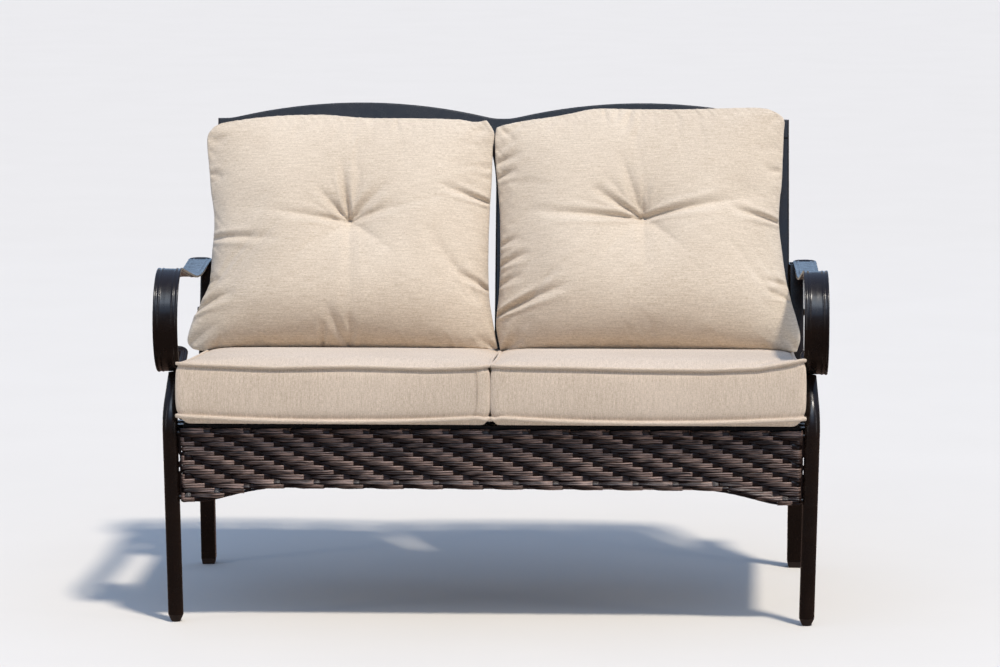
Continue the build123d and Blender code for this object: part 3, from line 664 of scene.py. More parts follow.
def skirt_edge(x):
    """Height of the skirt's bottom edge: level, then a slow fall towards each leg."""
    share = np.clip((np.abs(x) - SKIRT_FLAT) / (SKIRT_FOOT - SKIRT_FLAT), 0, 1)
    fall = share**1.7 * (1 - 0.25 * share**6) / 0.75
    return SKIRT_BOTTOM - (SKIRT_BOTTOM - SKIRT_END_BOTTOM) * np.minimum(fall, 1)


def skirt_end(height):
    """How far the skirt reaches sideways: just short of the bowed leg's inner edge."""
    return LEG_FOOT_X + LEG_BOW * height / LEG_BOW_HEIGHT - LEG_RADIUS - SKIRT_LEG_GAP


def over_rods(x, z):
    """How far the weave stands forward where it is wrapped round a rod: a bulge
    (radius + cover) * exp(-(distance to the rod's line / spread)^2)."""
    over_top = z - (rod_low.z + rod_high.z) / 2
    over_edge = z - skirt_edge(x) - (SKIRT_TOP - rod_high.z) - ROD_RADIUS
    beside = (np.abs(x) - END_ROD_X) / END_ROD_SHARE
    height = ROD_RADIUS + ROD_COVER
    bulges = [height * np.exp(-((gap / ROD_SPREAD) ** 2)) for gap in (over_top, over_edge)]
    at_end = height * END_ROD_SHARE * np.exp(-((beside / ROD_SPREAD) ** 2))
    return np.maximum(np.maximum(*bulges), at_end)


def eased(value, low, high):
    """0 below low, 1 above high, and 3t^2 - 2t^3 between."""
    share = np.clip((value - low) / (high - low), 0, 1)
    return share * share * (3 - 2 * share)


END_DROOP = 0.7
DIVE_START = -0.10
FLOAT_LEAD = 0.25
EDGE_ROOM = 0.0025
WANDER = 0.00020
UNEVENNESS = 0.03
ROW_PATTERN_SHIFT = 0.043
ALWAYS_POSITIVE = 10 * FLOAT_CYCLE


def strand_depth(place):
    """1 in front of the stakes and -1 behind one. The strand dives at the end of a
    float, passes one stake, and rises slowly out again."""
    dive = 2 * (1 - eased(place, DIVE_START, 0.07))
    rise = 2 * eased(place, 0.42, 1.60)
    droop = END_DROOP * eased(place, 2.6, 3.9)
    return -1 + dive * (1 - END_DROOP / 2) + rise - droop


def strand_width(place):
    """Share of the full height: narrow where a float begins and full at its end."""
    return 0.46 + 0.54 * np.where(place < 0.3, 1 - eased(place, -0.05, 0.3) * 0.9,
                                  0.1 + 0.9 * eased(place, 0.5, 2.3))


# Places along one float where its line bends, in stake pitches from the dive
FLOAT_STOPS = np.array([
    DIVE_START, -0.06, -0.02, 0.02, 0.07, 0.28, 0.5, 0.65, 0.8, 0.95, 1.1, 1.3, 1.6, 2.0,
    2.5, 3.0, 3.35, 3.65, 3.85,
])
# Two humps with a groove between, each place as (across, forward) shares
STRAND_PROFILE = np.array([
    (-1.0, -0.1), (-0.84, 0.45), (-0.5, 0.84), (-0.16, 0.72), (0.0, 0.34), (0.16, 0.78),
    (0.5, 1.0), (0.84, 0.58), (1.0, -0.1), (0.5, -0.45), (-0.5, -0.45),
])
rows_count = int(np.ceil((SKIRT_TOP - SKIRT_END_BOTTOM) / ROW_PITCH))
row_heights = SKIRT_TOP - FIRST_ROW_DROP - ROW_PITCH * np.arange(rows_count)
print(rows_count, "rows of strand")

# %% Level strands
def row_stops(row, end):
    """Places along one row, denser where its line bends, with both ends wrapped back."""
    reach = int(end / STAKE_PITCH / FLOAT_CYCLE) + 2
    floats = np.arange(-reach - row // FLOAT_CYCLE - 1, reach)[:, None] * FLOAT_CYCLE
    phases = (floats + FLOAT_STOPS).ravel() + row
    xs = (phases - FLOAT_LEAD + WEAVE_SHIFT) * STAKE_PITCH
    wrap = end - END_WRAP * (1 - np.cos(np.linspace(0, pi / 2, 5)[::-1]))
    xs = xs[np.abs(xs) < end - END_WRAP - 0.0005]
    return np.sort(np.concatenate([-wrap, xs, wrap]))


def uneven(x, rng, spread, count):
    """A smooth random line along x, from a few normal draws."""
    return np.interp(x, np.linspace(-0.6, 0.6, count), rng.normal(0, spread, count))


def strand_rows():
    """Each row is the two-hump profile moved along x; y follows strand_depth, and z
    stays level but for a slight wander."""
    tubes = []
    rng = np.random.default_rng(411)
    for row, height in enumerate(row_heights):
        end = skirt_end(height)
        xs = row_stops(row, end)
        inside = skirt_edge(xs) < height - EDGE_ROOM
        for part in np.split(np.arange(len(xs)), np.flatnonzero(np.diff(inside)) + 1):
            if len(part) < 3 or not inside[part[0]]:
                continue
            x = xs[part]
            phase = x / STAKE_PITCH - WEAVE_SHIFT + FLOAT_LEAD - row
            place = np.mod(phase - DIVE_START, FLOAT_CYCLE) + DIVE_START
            wander = uneven(x, rng, WANDER, 90)
            width = strand_width(place) * (1 + uneven(x, rng, UNEVENNESS, 60))
            across = STRAND_PROFILE[:, 0] * STRAND_HEIGHT / 2
            deep = STRAND_PROFILE[:, 1] * STRAND_THICKNESS
            past = np.clip((np.abs(x) - (end - END_WRAP)) / END_WRAP, 0, 1)
            wrapped_back = 2 * END_WRAP * (1 - np.sqrt(1 - np.clip(past, 0, 0.999) ** 2))
            z = (height + wander)[:, None] + across * width[:, None]
            bulge = over_rods(x[:, None], z)
            calmed = 1 - 0.5 * bulge / (ROD_RADIUS + ROD_COVER)
            forward = WEAVE_MIDDLE + WEAVE_DEPTH * calmed * strand_depth(place)[:, None] + bulge
            y = FRONT_Y - forward + wrapped_back[:, None] - deep
            rings = np.stack([np.broadcast_to(x[:, None], z.shape), y, z], axis=-1)
            around = np.linspace(0, 2 * STRAND_HEIGHT, rings.shape[1] + 1)
            counted = (np.pad(phase, 1, mode="edge") + ALWAYS_POSITIVE) / FLOAT_CYCLE
            tubes.append((rings, counted, around + row * ROW_PATTERN_SHIFT))
    return joined_tubes(tubes)


level_strands = make_piece(
    "skirt_level_strands", *strand_rows(), "frame", "wicker", resin_strand, merged=True
)

# %% Upright stakes
STAKE_WIDTH = 0.0192
STAKE_BOW = 0.0011
STAKE_OUT = 0.0009
STAKE_STEPS_IN_ROW = 5
STAKE_PROFILE = np.array([
    (-1.0, -0.9), (-0.6, 0.1), (-0.22, 1.0), (0.0, 0.8), (0.22, 1.0), (0.6, 0.1),
    (1.0, -0.9), (0.0, -0.4),
])
STAKE_TURN_DROP = 0.0045
WRAP_RISE = 0.0022
STAKE_COLUMN = 0.035
STAKE_WRAP_HIGHLIGHT = 0.75
STAKE_STAGGER = 0.0002
STAKE_PATTERN_SHIFT = 0.05
WRAP_ZONE = 0.003


def stakes():
    """Upright strands that bow forward where a row dips behind them. Each turns back
    over the top rod on a circle about the rod's middle."""
    tubes = []
    reach = int(skirt_end(SKIRT_TOP) / STAKE_PITCH)
    for stake in range(1 - reach, reach + 1):
        x = (stake + WEAVE_SHIFT) * STAKE_PITCH
        low = float(skirt_edge(np.array(x))) + 0.003
        z = np.arange(SKIRT_TOP - STAKE_TURN_DROP, low, -ROW_PITCH / STAKE_STEPS_IN_ROW)
        row = (SKIRT_TOP - FIRST_ROW_DROP - z) / ROW_PITCH
        passed = np.round((stake - np.round(row)) / FLOAT_CYCLE) * FLOAT_CYCLE
        from_dip = np.abs(stake - row - passed)
        out = -STAKE_OUT + 2 * STAKE_OUT * (1 - eased(from_dip, 0.3, 0.85))
        bulge = over_rods(x, z)
        out = out * (1 + 0.8 * bulge / (ROD_RADIUS + ROD_COVER)) + bulge
        lift = z[0] - (rod_low.z + rod_high.z) / 2
        reach_out = np.hypot(lift, out[0])
        turn = np.linspace(np.arctan2(lift, out[0]), pi * 0.85, 8)[1:]
        raised = WRAP_RISE if stake % FLOAT_CYCLE < 2 else 0.0
        reach_out = reach_out + raised * np.sin(np.linspace(0, pi, 8)[1:])
        over_z = z[0] - lift + reach_out * np.sin(turn)
        z = np.concatenate([over_z[::-1], z])
        out = np.concatenate([(reach_out * np.cos(turn))[::-1], out])
        across = STAKE_PROFILE[:, 0] * STAKE_WIDTH / 2
        y = FRONT_Y - out[:, None] - STAKE_PROFILE[:, 1] * STAKE_BOW + stake % 2 * STAKE_STAGGER
        rings = np.stack(np.broadcast_arrays(x + across[None], y, z[:, None]), axis=-1)
        around = np.linspace(0, 2 * STAKE_WIDTH, rings.shape[1] + 1) + stake * STAKE_PATTERN_SHIFT
        # The stakes take the dark, painted-shade end of the strand's ramp, and where they turn
        # over the top rod a painted highlight
        wrapped = (np.pad(z, 1, mode="edge") - SKIRT_TOP + WRAP_ZONE) / WRAP_ZONE
        shade = STAKE_COLUMN + STAKE_WRAP_HIGHLIGHT * np.clip(wrapped, 0, 1)
        tubes.append((rings, shade, around))
    return joined_tubes(tubes)


upright_stakes = make_piece(
    "skirt_upright_stakes", *stakes(), "frame", "wicker", resin_strand, merged=True
)

# %% [markdown]
# One thin strand binds the bottom edge along the arch, with a faint swelling where
# a stake turns round it. A cord closes each side against the leg, and leaves the two
# small slits through which the ground shows.

# %% Bound bottom edge
def bound_edge():
    """A tube along the arch: radius * (1 + a small swelling once per stake)."""
    reach = skirt_end(SKIRT_END_BOTTOM) - BINDING_RADIUS
    x = np.linspace(-reach, reach, 420)
    height = skirt_edge(x) + BINDING_RADIUS
    path = np.stack([x, FRONT_Y - 0.0012 - over_rods(x, height) * 0.5, height], axis=1)
    swell = 1 + 0.10 * np.abs(np.sin((x / STAKE_PITCH - WEAVE_SHIFT) * pi))
    # Its pattern counts metres along it, so the strand's painted light ramp runs once over its
    # first metre: painted shade at its left end, rising to a painted highlight
    return tube_piece(
        "skirt_binding", path, BINDING_RADIUS * swell, 10, FORWARD, "frame", "wicker", resin_strand
    )


SIDE_CORD_RADIUS = 0.0029
SIDE_CORD_PRESS = 0.0006
# Slits beside a cord: middle height, half length and how far the cord gives way
SIDE_SLITS = ((0.3137, 0.0085, 0.0026), (0.2925, 0.0050, 0.0022))


def side_cord(side_name, side):
    """An upright tube beside the leg, pushed inwards at each slit by a smooth bump."""
    z = np.linspace(SKIRT_TOP - 0.004, SKIRT_END_BOTTOM + 0.004, 90)
    x = skirt_end(z) + SKIRT_LEG_GAP - SIDE_CORD_RADIUS + SIDE_CORD_PRESS
    for middle, half, depth in SIDE_SLITS:
        x = x - depth * (1 - eased(np.abs(z - middle), half * 0.6, half * 1.2))
    path = np.stack([side * x, np.full_like(z, FRONT_Y + 0.001), z], axis=1)
    # A side cord is short, so along its length it stays at the painted-shade end of the strand's
    # ramp
    return tube_piece(
        f"skirt_side_cord_{side_name}", path, SIDE_CORD_RADIUS, 10, FORWARD, "frame", "wicker",
        resin_strand,
    )


edge_pieces = [bound_edge(), *(side_cord(*named_side) for named_side in SIDES)]
for piece in (level_strands, upright_stakes, *edge_pieces):
    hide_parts("wicker_skirt")

# %% [markdown]
# ## Soft parts
#
# Every cushion is sewn from flat panels, so it starts as panels: grids that share
# their seam points. Cloth pressure then blows the closed cover up a little, as the
# filling does, and no point may move further than a cap. Because the points keep
# their numbers, the seams can be found again for the piping.

# %% Panels, sides and inflation
def panel_from_sides(bottom, right, top, left):
    """Coons patch: the blend of opposite sides, less the blend of the corners."""
    u = np.linspace(0, 1, len(bottom))[None, :, None]
    v = np.linspace(0, 1, len(left))[:, None, None]
    between = (1 - v) * bottom[None] + v * top[None] + (1 - u) * left[:, None] + u * right[:, None]
    corners = (
        (1 - u) * (1 - v) * bottom[0] + u * (1 - v) * bottom[-1]
        + (1 - u) * v * top[0] + u * v * top[-1]
    )
    return between - corners


def rim(grid):
    """The border of a grid in order: along the first row, up, back and down."""
    return np.concatenate([grid[0, :-1], grid[:-1, -1], grid[-1, :0:-1], grid[:0:-1, 0]])


def coordinates(mesh):
    flat = np.empty(len(mesh.vertices) * 3)
    mesh.vertices.foreach_get("co", flat)
    return flat.reshape(-1, 3)


def set_coordinates(mesh, points):
    mesh.vertices.foreach_set("co", np.asarray(points, float).ravel())
    mesh.update()


CLOTH_SETTINGS = {
    "quality": 5, "mass": 0.35, "tension_stiffness": 20, "compression_stiffness": 20,
    "shear_stiffness": 8, "bending_stiffness": 0.3, "air_damping": 2, "use_pressure": True,
    "vertex_group_mass": "held", "shrink_min": -0.008,
}


def inflate(piece, pressure, cap, held, frames=20, room=None):
    """Cloth pressure on a closed cover. held is how firmly each point stays, 0 to 1,
    and cap is how far a point may go; room scales the move of each point."""
    start = coordinates(piece.data)
    group = piece.vertex_groups.new(name="held")
    for weight in np.unique(np.round(held, 2)):
        chosen = np.flatnonzero(np.round(held, 2) == weight).tolist()
        group.add(chosen, float(weight), "REPLACE")
    scene = bpy.context.scene
    cloth = piece.modifiers.new("pressure", "CLOTH")
    for setting, value in CLOTH_SETTINGS.items():
        setattr(cloth.settings, setting, value)
    cloth.settings.uniform_pressure_force = pressure
    cloth.settings.effector_weights.gravity = 0
    cloth.collision_settings.use_collision = False
    cloth.point_cache.frame_start = 1
    cloth.point_cache.frame_end = frames
    for number in range(1, frames + 1):
        scene.frame_set(number)
    view = bpy.context.evaluated_depsgraph_get()
    moved = coordinates(piece.evaluated_get(view).data)
    piece.modifiers.remove(cloth)
    piece.vertex_groups.remove(group)
    scene.frame_set(1)
    shift = moved - start
    far = np.linalg.norm(shift, axis=1, keepdims=True)
    allowed = cap if room is None else cap * room[:, None]
    scale = allowed * np.tanh(far / np.maximum(allowed, 1e-6)) / np.maximum(far, 1e-9)
    set_coordinates(piece.data, start + shift * scale)
    print(f"{piece.name}: moved {far.mean() / MM:.1f} mm on average, most {far.max() / MM:.1f}")


def smoother(piece, levels=1):
    finer = piece.modifiers.new("finer", "SUBSURF")
    finer.levels = levels
    finer.render_levels = levels


def refined(piece):
    """Applies one subdivision, so that folds can be pressed into the finer cells."""
    smoother(piece)
    view = bpy.context.evaluated_depsgraph_get()
    coarse = piece.data
    piece.data = bpy.data.meshes.new_from_object(piece.evaluated_get(view))
    piece.modifiers.clear()
    bpy.data.meshes.remove(coarse)
    return coordinates(piece.data)


# %% [markdown]
# ## Seat cushions
#
# A boxed cushion: a top and a bottom panel joined by a band, with piping sewn into
# both seams. The top rises quickly from the seam and is nearly level in the middle,
# because foam fills it. The seam isn't quite straight: hands have tugged the
# corners up and the cloth dips between them.

# %% Seat cushion sizes
SEAT_INNER = 0.0015
SEAT_OUTER = 0.5835
SEAT_FRONT = -0.026
SEAT_REAR = 0.532
SEAT_TOP_SEAM = 0.1103
SEAT_LOW_SEAM = 0.0155
SEAT_CROWN = 0.011
SEAT_DRAW_IN = 0.004
SEAT_CORNER = 0.020
SEAT_TUCK = 0.010
SEAT_CELL = 0.008
NOSE_SPREAD = 0.010
NOSE_REACH = 0.020
BAND_SHARES = np.array([
    0.024, 0.052, 0.095, 0.17, 0.29, 0.43, 0.57, 0.71, 0.83, 0.905, 0.948, 0.976,
])
BAND_SWELL = 0.0045
BAND_ROOM = 0.25
SEAM_GROOVE = 0.0042
PIPING = {"top": 0.0033, "bottom": 0.0042}
PIPING_PROUD = 0.0012
CROWN_SHARES = ((0, 0), (0.035, 0.34), (0.09, 0.64), (0.2, 0.87), (0.4, 0.96), (1, 1))
SEAT_HALF_DEPTH = (SEAT_REAR - SEAT_FRONT) / 2
# Lift of the top seam along the front, from the outer corner to the inner one, in mm
SEAM_LIFT = {
    "left": ((0, 4), (0.06, 2), (0.14, 0), (0.3, -4), (0.55, -1), (0.8, -4), (0.94, -1), (1, 2)),
    "right": ((0, 16), (0.05, 9), (0.14, 0), (0.3, -5), (0.55, -4), (0.75, -1), (0.92, 1), (1, 2)),
}


def seat_reach(side):
    """Where the cushion on this side begins and ends across the seat."""
    return (SEAT_INNER, SEAT_OUTER) if side > 0 else (-SEAT_OUTER, -SEAT_INNER)


def bowed(start, stop, count, bow, corner):
    """A straight side drawn in by a bow, with the corners pulled in round."""
    share = np.linspace(0, 1, count)
    start, stop = np.array(start, float), np.array(stop, float)
    run = stop - start
    inward = np.array([-run[1], run[0]]) / np.linalg.norm(run)
    near = np.minimum(share, 1 - share) * np.linalg.norm(run)
    drop = bow * np.sin(share * pi) + corner * np.clip(1 - near / corner, 0, 1) ** 2 * 0.29
    return start + share[:, None] * run + drop[:, None] * inward


def inside_seams(x, setback, side):
    """Distance of each place to the nearest straight side of the cushion."""
    left, right = seat_reach(side)
    aside = np.minimum(x - left, right - x)
    return np.minimum(aside, np.minimum(setback - SEAT_FRONT, SEAT_REAR - setback))


def crown_height(x, setback, side):
    """Rise of the top over its seam, from the distance to the nearest seam."""
    share = np.clip(inside_seams(x, setback, side) / SEAT_HALF_DEPTH, 0, 1)
    return SEAT_CROWN * np.interp(share, *np.transpose(CROWN_SHARES))


# %% [markdown]
# The left cushion's band shows where it was sewn into a ring: a thin ridge beside a
# row of stitches. Every stitch is its own short tube, and all of them make one mesh.

# %% The sewn join of the left cushion's band
BAND_JOIN_X = -0.022
JOIN_RADIUS = 0.0008
STITCH_PITCH = 0.0036
STITCH_LENGTH = 0.0023
STITCH_RADIUS = 0.00042
STITCH_ASIDE = 0.0030


def band_join(line):
    """A thin ridge down the band with a row of stitches beside it: each stitch is a short
    tube along the line, shut at both ends."""
    line = smooth_line(line) - SEAT_BACKWARDS * JOIN_RADIUS / 2
    ridge = tube_piece(
        "seat_band_join", line, JOIN_RADIUS, 8, ACROSS, "seat_cushion_left", "cushion_cover",
        piping_cloth,
    )
    measure = lengths_along(line)
    beside = line - ACROSS * STITCH_ASIDE
    around = np.arange(7) * STITCH_RADIUS
    tubes = []
    for stop in np.arange(measure[0] + STITCH_PITCH, measure[-1] - STITCH_PITCH, STITCH_PITCH):
        stops = stop + np.linspace(0, STITCH_LENGTH, 4)
        thread = np.stack([np.interp(stops, measure, column) for column in beside.T], axis=1)
        rings = tube_grid(thread, STITCH_RADIUS, 6, ACROSS)
        tubes.append((rings, np.linspace(0, STITCH_LENGTH, len(rings) + 2), around))
    stitches = make_piece(
        "seat_band_stitches", *joined_tubes(tubes), "seat_cushion_left", "cushion_cover",
        piping_cloth, merged=True,
    )
    for piece in (ridge, stitches):
        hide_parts("seat_cushion_cover_left")


# %% [markdown]
# A seat cushion is drawn in three steps. One panel gives the outline of both faces, a
# band of rings joins their seams, and the cloth then settles over the foam. The cords
# are laid along the settled seams, so they follow every dip.

# %% Shape a seat cushion
LIFT_FADE = 0.09
LOW_PANEL_LIFT = 0.0004
NOSE_POWER = 4


def seat_panel(side_name, side):
    """The flat panel of the top and the bottom, and the heights of both."""
    left, right = seat_reach(side)
    columns = int((right - left) / SEAT_CELL) + 1
    rows = int((SEAT_REAR - SEAT_FRONT) / SEAT_CELL) + 1
    a, b = (left, SEAT_FRONT), (right, SEAT_FRONT)
    c, d = (right, SEAT_REAR), (left, SEAT_REAR)
    near, far = (bowed(p, q, columns, SEAT_DRAW_IN, SEAT_CORNER) for p, q in ((a, b), (c, d)))
    east, west = (bowed(p, q, rows, SEAT_DRAW_IN, SEAT_CORNER) for p, q in ((b, c), (d, a)))
    far, west = far[::-1], west[::-1]
    east[[0, -1]] = near[-1], far[-1]
    west[[0, -1]] = near[0], far[0]
    panel = panel_from_sides(near, east, far, west)

    across, setback = panel[..., 0], panel[..., 1]
    outer_share = np.clip((np.abs(across) - SEAT_INNER) / (SEAT_OUTER - SEAT_INNER), 0, 1)
    from_front = np.clip(setback - SEAT_FRONT, 0, None)
    spread = NOSE_SPREAD * np.exp(-from_front / NOSE_REACH)
    x = across + side * spread * outer_share**NOSE_POWER
    from_outer = (x - left) / (right - left)
    from_outer = from_outer if side < 0 else 1 - from_outer
    lift = np.interp(from_outer, *np.transpose(SEAM_LIFT[side_name])) * MM
    lift = lift * np.exp(-from_front / LIFT_FADE)
    top_height = SEAT_TOP_SEAM + lift + crown_height(x, setback, side)
    tucked = np.clip(inside_seams(x, setback, side) / SEAT_TUCK, 0, 1)
    low_height = SEAT_LOW_SEAM * (1 - tucked) ** 2 + LOW_PANEL_LIFT
    return x, setback, top_height, low_height


def seat_band(top_rim, low_rim, middle):
    """Rings between the two seams, swelled outwards, and the direction that is outwards."""
    share = BAND_SHARES[:, None, None]
    band = (1 - share) * top_rim[None] + share * low_rim[None]
    outwards = unit(top_rim[:, :2] - middle)
    swell = BAND_SWELL * np.sin(share[..., 0] * pi) ** 0.7
    band[..., :2] += swell[..., None] * outwards[None]
    return band, outwards


# %% Sew a seat cushion
REAR_HELD_FROM = 0.34
REAR_HELD_OVER = 0.07
SMALLEST_ROOM = 0.02
SEAT_PRESSURE = 3.0
SEAT_MOVE_CAP = 0.006
# Where the band tucks in under the top cord and over the bottom one, and how broadly
GROOVES = ((0.052, 0.035), (0.94, 0.03))


def seat_cushion(side_name, side):
    body, cover_node = f"seat_cushion_{side_name}", f"seat_cushion_cover_{side_name}"
    x, setback, top_height, low_height = seat_panel(side_name, side)
    rows, columns = x.shape
    top = np.stack([x, setback, top_height], axis=-1)
    low = np.stack([x, setback, low_height], axis=-1)
    top_rim, low_rim = rim(top), rim(low)
    middle = np.array([sum(seat_reach(side)) / 2, (SEAT_FRONT + SEAT_REAR) / 2])
    band, outwards = seat_band(top_rim, low_rim, middle)

    count, ring, band_rows = rows * columns, len(top_rim), len(BAND_SHARES)
    top_numbers = numbered(rows, columns)
    low_numbers = numbered(rows, columns, first=count)
    band_numbers = numbered(band_rows, ring, first=2 * count)
    loops = np.concatenate([rim(top_numbers)[None], band_numbers, rim(low_numbers)[None]])
    loops = np.concatenate([loops, loops[:, :1]], axis=1)
    around = lengths_along(np.concatenate([top_rim, top_rim[:1]]))
    shares = np.concatenate([[0.0], BAND_SHARES, [1.0]])
    heights = SEAT_TOP_SEAM + (SEAT_LOW_SEAM - SEAT_TOP_SEAM) * shares
    band_pattern = np.stack(np.broadcast_arrays(around[None], heights[:, None]), axis=-1)
    flat = np.concatenate([part.reshape(-1, 3) for part in (top, low, band)])
    pattern = np.stack([x, setback], axis=-1)
    patches = [
        (top_numbers, pattern), (low_numbers[:, ::-1], pattern[:, ::-1]), (loops, band_pattern),
    ]
    cover = make_piece(body, seat_point(*flat.T), patches, body, "cushion_cover", seat_cloth)

    held = np.zeros(len(flat))
    held[rim(top_numbers)] = 0.8
    held[low_numbers.ravel()] = 1.0
    room = 1 - np.clip((flat[:, 1] - REAR_HELD_FROM) / REAR_HELD_OVER, 0, 1)
    room[2 * count:] = BAND_ROOM
    inflate(cover, SEAT_PRESSURE, SEAT_MOVE_CAP, held, room=np.clip(room, SMALLEST_ROOM, 1))
    settled = coordinates(cover.data)
    for level_name, numbers in (("top", top_numbers), ("bottom", low_numbers)):
        loop = settled[rim(numbers)]
        from_centre = loop - loop.mean(axis=0)
        outward = unit(from_centre - (from_centre @ SEAT_UP)[:, None] * SEAT_UP)
        cord = tube_piece(
            f"seat_piping_{level_name}_{side_name}", loop + outward * PIPING_PROUD,
            PIPING[level_name], 12, SEAT_UP, body, "cushion_cover", piping_cloth, closed=True,
        )
        smoother(cord)
        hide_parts(cover_node)
    hollow = SEAM_GROOVE * sum(
        np.exp(-(((BAND_SHARES - place) / breadth) ** 2)) for place, breadth in GROOVES
    )
    inward = np.zeros((band_rows, ring, 3))
    inward[..., :2] = -outwards
    flat_pull = (hollow[:, None, None] * inward).reshape(-1, 3)
    settled[2 * count:] += in_room(np.zeros(3), (ACROSS, SEAT_BACKWARDS, SEAT_UP), flat_pull.T)
    set_coordinates(cover.data, settled)
    if side_name == "left":
        column = int(np.argmin(np.abs(top_rim[:columns, 0] - BAND_JOIN_X)))
        band_join(settled[loops[1:-1, column]])
    smoother(cover)
    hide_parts(cover_node, f"seat_cushion_foam_{side_name}")


for side_name, side in SIDES:
    seat_cushion(side_name, side)

# %% [markdown]
# ## Back cushions
#
# Each back cushion is a pillow: two panels sewn edge to edge and stuffed with
# fibre. It is fullest low down, its corners are pinched to points, and one tuft
# pulls the face in so that folds run out from it. The outline is four sides, each
# through places measured from the loveseat: how far across and how far up the back.

# %% Back cushion outlines and folds
SEAM_FORWARD = 0.066
PILLOW_REAR = 0.0130
PILLOW_CELL = 0.0048
PILLOW_FULL = 0.114
PILLOW_SAG = 0.018
PILLOWS = {
    "left": {
        "bottom": ((-0.616, 0.104), (-0.575, 0.098), (-0.45, 0.098), (-0.30, 0.098),
                   (-0.15, 0.098), (-0.05, 0.099), (-0.002, 0.108)),
        "right": ((-0.002, 0.108), (-0.009, 0.145), (-0.0185, 0.205), (-0.0215, 0.26),
                  (-0.0215, 0.33), (-0.0195, 0.395), (-0.0170, 0.45), (-0.0160, 0.515),
                  (-0.0140, 0.549), (-0.030, 0.5760)),
        "top": ((-0.582, 0.560), (-0.56, 0.5695), (-0.50, 0.5790), (-0.434, 0.5850),
                (-0.36, 0.5865), (-0.30, 0.5820), (-0.26, 0.5800), (-0.174, 0.5798),
                (-0.09, 0.5775), (-0.056, 0.5725), (-0.030, 0.5760)),
        "left": ((-0.616, 0.104), (-0.628, 0.122), (-0.620, 0.158), (-0.602, 0.200),
                 (-0.5865, 0.238), (-0.583, 0.300), (-0.580, 0.3676), (-0.588, 0.427),
                 (-0.593, 0.480), (-0.597, 0.525), (-0.594, 0.545), (-0.582, 0.560)),
        "tuft": (-0.3010, 0.3560),
        "crease": (0.13, 0.28, 0.0055),
    },
    "right": {
        "bottom": ((0.000, 0.104), (0.03, 0.098), (0.12, 0.098), (0.28, 0.098),
                   (0.42, 0.098), (0.55, 0.098), (0.594, 0.104)),
        "right": ((0.594, 0.104), (0.601, 0.140), (0.585, 0.204), (0.574, 0.250),
                  (0.5665, 0.306), (0.560, 0.362), (0.5615, 0.408), (0.566, 0.454),
                  (0.5688, 0.545), (0.5675, 0.581), (0.536, 0.6000)),
        "top": ((-0.012, 0.560), (0.005, 0.5665), (0.0455, 0.5755), (0.0906, 0.582),
                (0.135, 0.590), (0.189, 0.6003), (0.27, 0.5997), (0.36, 0.5997),
                (0.4495, 0.6020), (0.505, 0.6030), (0.536, 0.6000)),
        "left": ((0.000, 0.104), (-0.009, 0.150), (-0.0085, 0.18), (-0.004, 0.247),
                 (-0.0045, 0.36), (-0.009, 0.43), (-0.0135, 0.48), (-0.0155, 0.535),
                 (-0.012, 0.560)),
        "tuft": (0.2846, 0.3650),
        "crease": (0.06, 0.20, 0.0095),
    },
}
# Folds as (start x, start rise, end x, end rise, depth, half width), in millimetres.
# A fold is deepest near its start and fades out towards its end
TUFT_FOLDS = {
    "left": np.array([
        (-301, 356, -319, 488, 14.0, 5.0), (-301, 356, -368, 428, 11.0, 5.5),
        (-301, 356, -462, 377, 7.0, 5.5), (-301, 356, -226, 436, 11.0, 6.5),
        (-301, 356, -196, 390, 8.0, 6.5), (-301, 356, -297, 110, 4.0, 9.0),
        (-301, 356, -236, 306, 5.0, 8.0),
    ]),
    "right": np.array([
        (285, 365, 74, 377, 12.0, 5.5), (285, 365, 178, 430, 13.0, 5.0),
        (285, 365, 240, 505, 8.0, 7.0), (285, 365, 287, 455, 9.0, 7.0),
        (285, 365, 482, 405, 12.0, 6.0), (285, 365, 350, 312, 5.0, 8.0),
        (285, 365, 288, 190, 3.5, 10.0),
    ]),
}
SEAM_GATHERS = {
    "left": np.array([
        (-590, 328, -440, 316, 9, 5.5), (-622, 176, -525, 212, 20, 6.0),
        (-598, 240, -556, 236, 8, 5.0), (-592, 462, -560, 455, 7, 5.0),
        (-598, 508, -568, 500, 5, 5.0), (-600, 540, -556, 518, 6, 7.0),
        (-12, 400, -128, 436, 14, 4.5), (-14, 220, -82, 254, 16, 4.5),
        (-12, 476, -50, 474, 6, 5.0), (-4, 104, -45, 130, 13, 7.0),
        (-26, 578, -62, 526, 6, 7.0), (-14, 300, -40, 302, 4, 5.0),
        (-628, 110, -555, 150, 9, 8.0), (-350, 100, -345, 152, 8, 4.5),
        (-300, 104, -346, 188, 8, 6.5), (-292, 100, -297, 168, 8, 5.5),
        (-210, 584, -214, 540, 4, 4.0), (-262, 584, -262, 560, 5, 4.0),
    ]),
    "right": np.array([
        (-16, 450, 34, 470, 13, 5.0), (-18, 480, 42, 506, 11, 5.5),
        (-6, 314, 44, 326, 8, 5.0), (-8, 272, 62, 294, 13, 5.0),
        (0, 174, 140, 224, 17, 5.5), (-6, 232, 50, 250, 9, 5.0),
        (562, 364, 452, 388, 15, 4.5), (582, 236, 516, 240, 11, 4.5),
        (588, 204, 520, 222, 11, 4.5), (560, 590, 528, 556, 6, 7.0),
        (602, 104, 548, 146, 9, 8.0), (2, 96, 52, 130, 14, 7.0),
        (205, 602, 212, 556, 5, 4.0), (262, 602, 246, 546, 5, 5.0),
        (234, 602, 232, 570, 4, 4.0), (-10, 562, 32, 526, 8, 6.0),
        (562, 470, 530, 468, 4, 5.0),
    ]),
}
TUFT_DIP = 0.030
TUFT_REACH = 0.046
TUFT_POWER = 0.98
TUFT_HELD = 0.012
REAR_HELD = 0.004
PILLOW_PRESSURE = 4.0
PILLOW_MOVE_CAP = 0.022
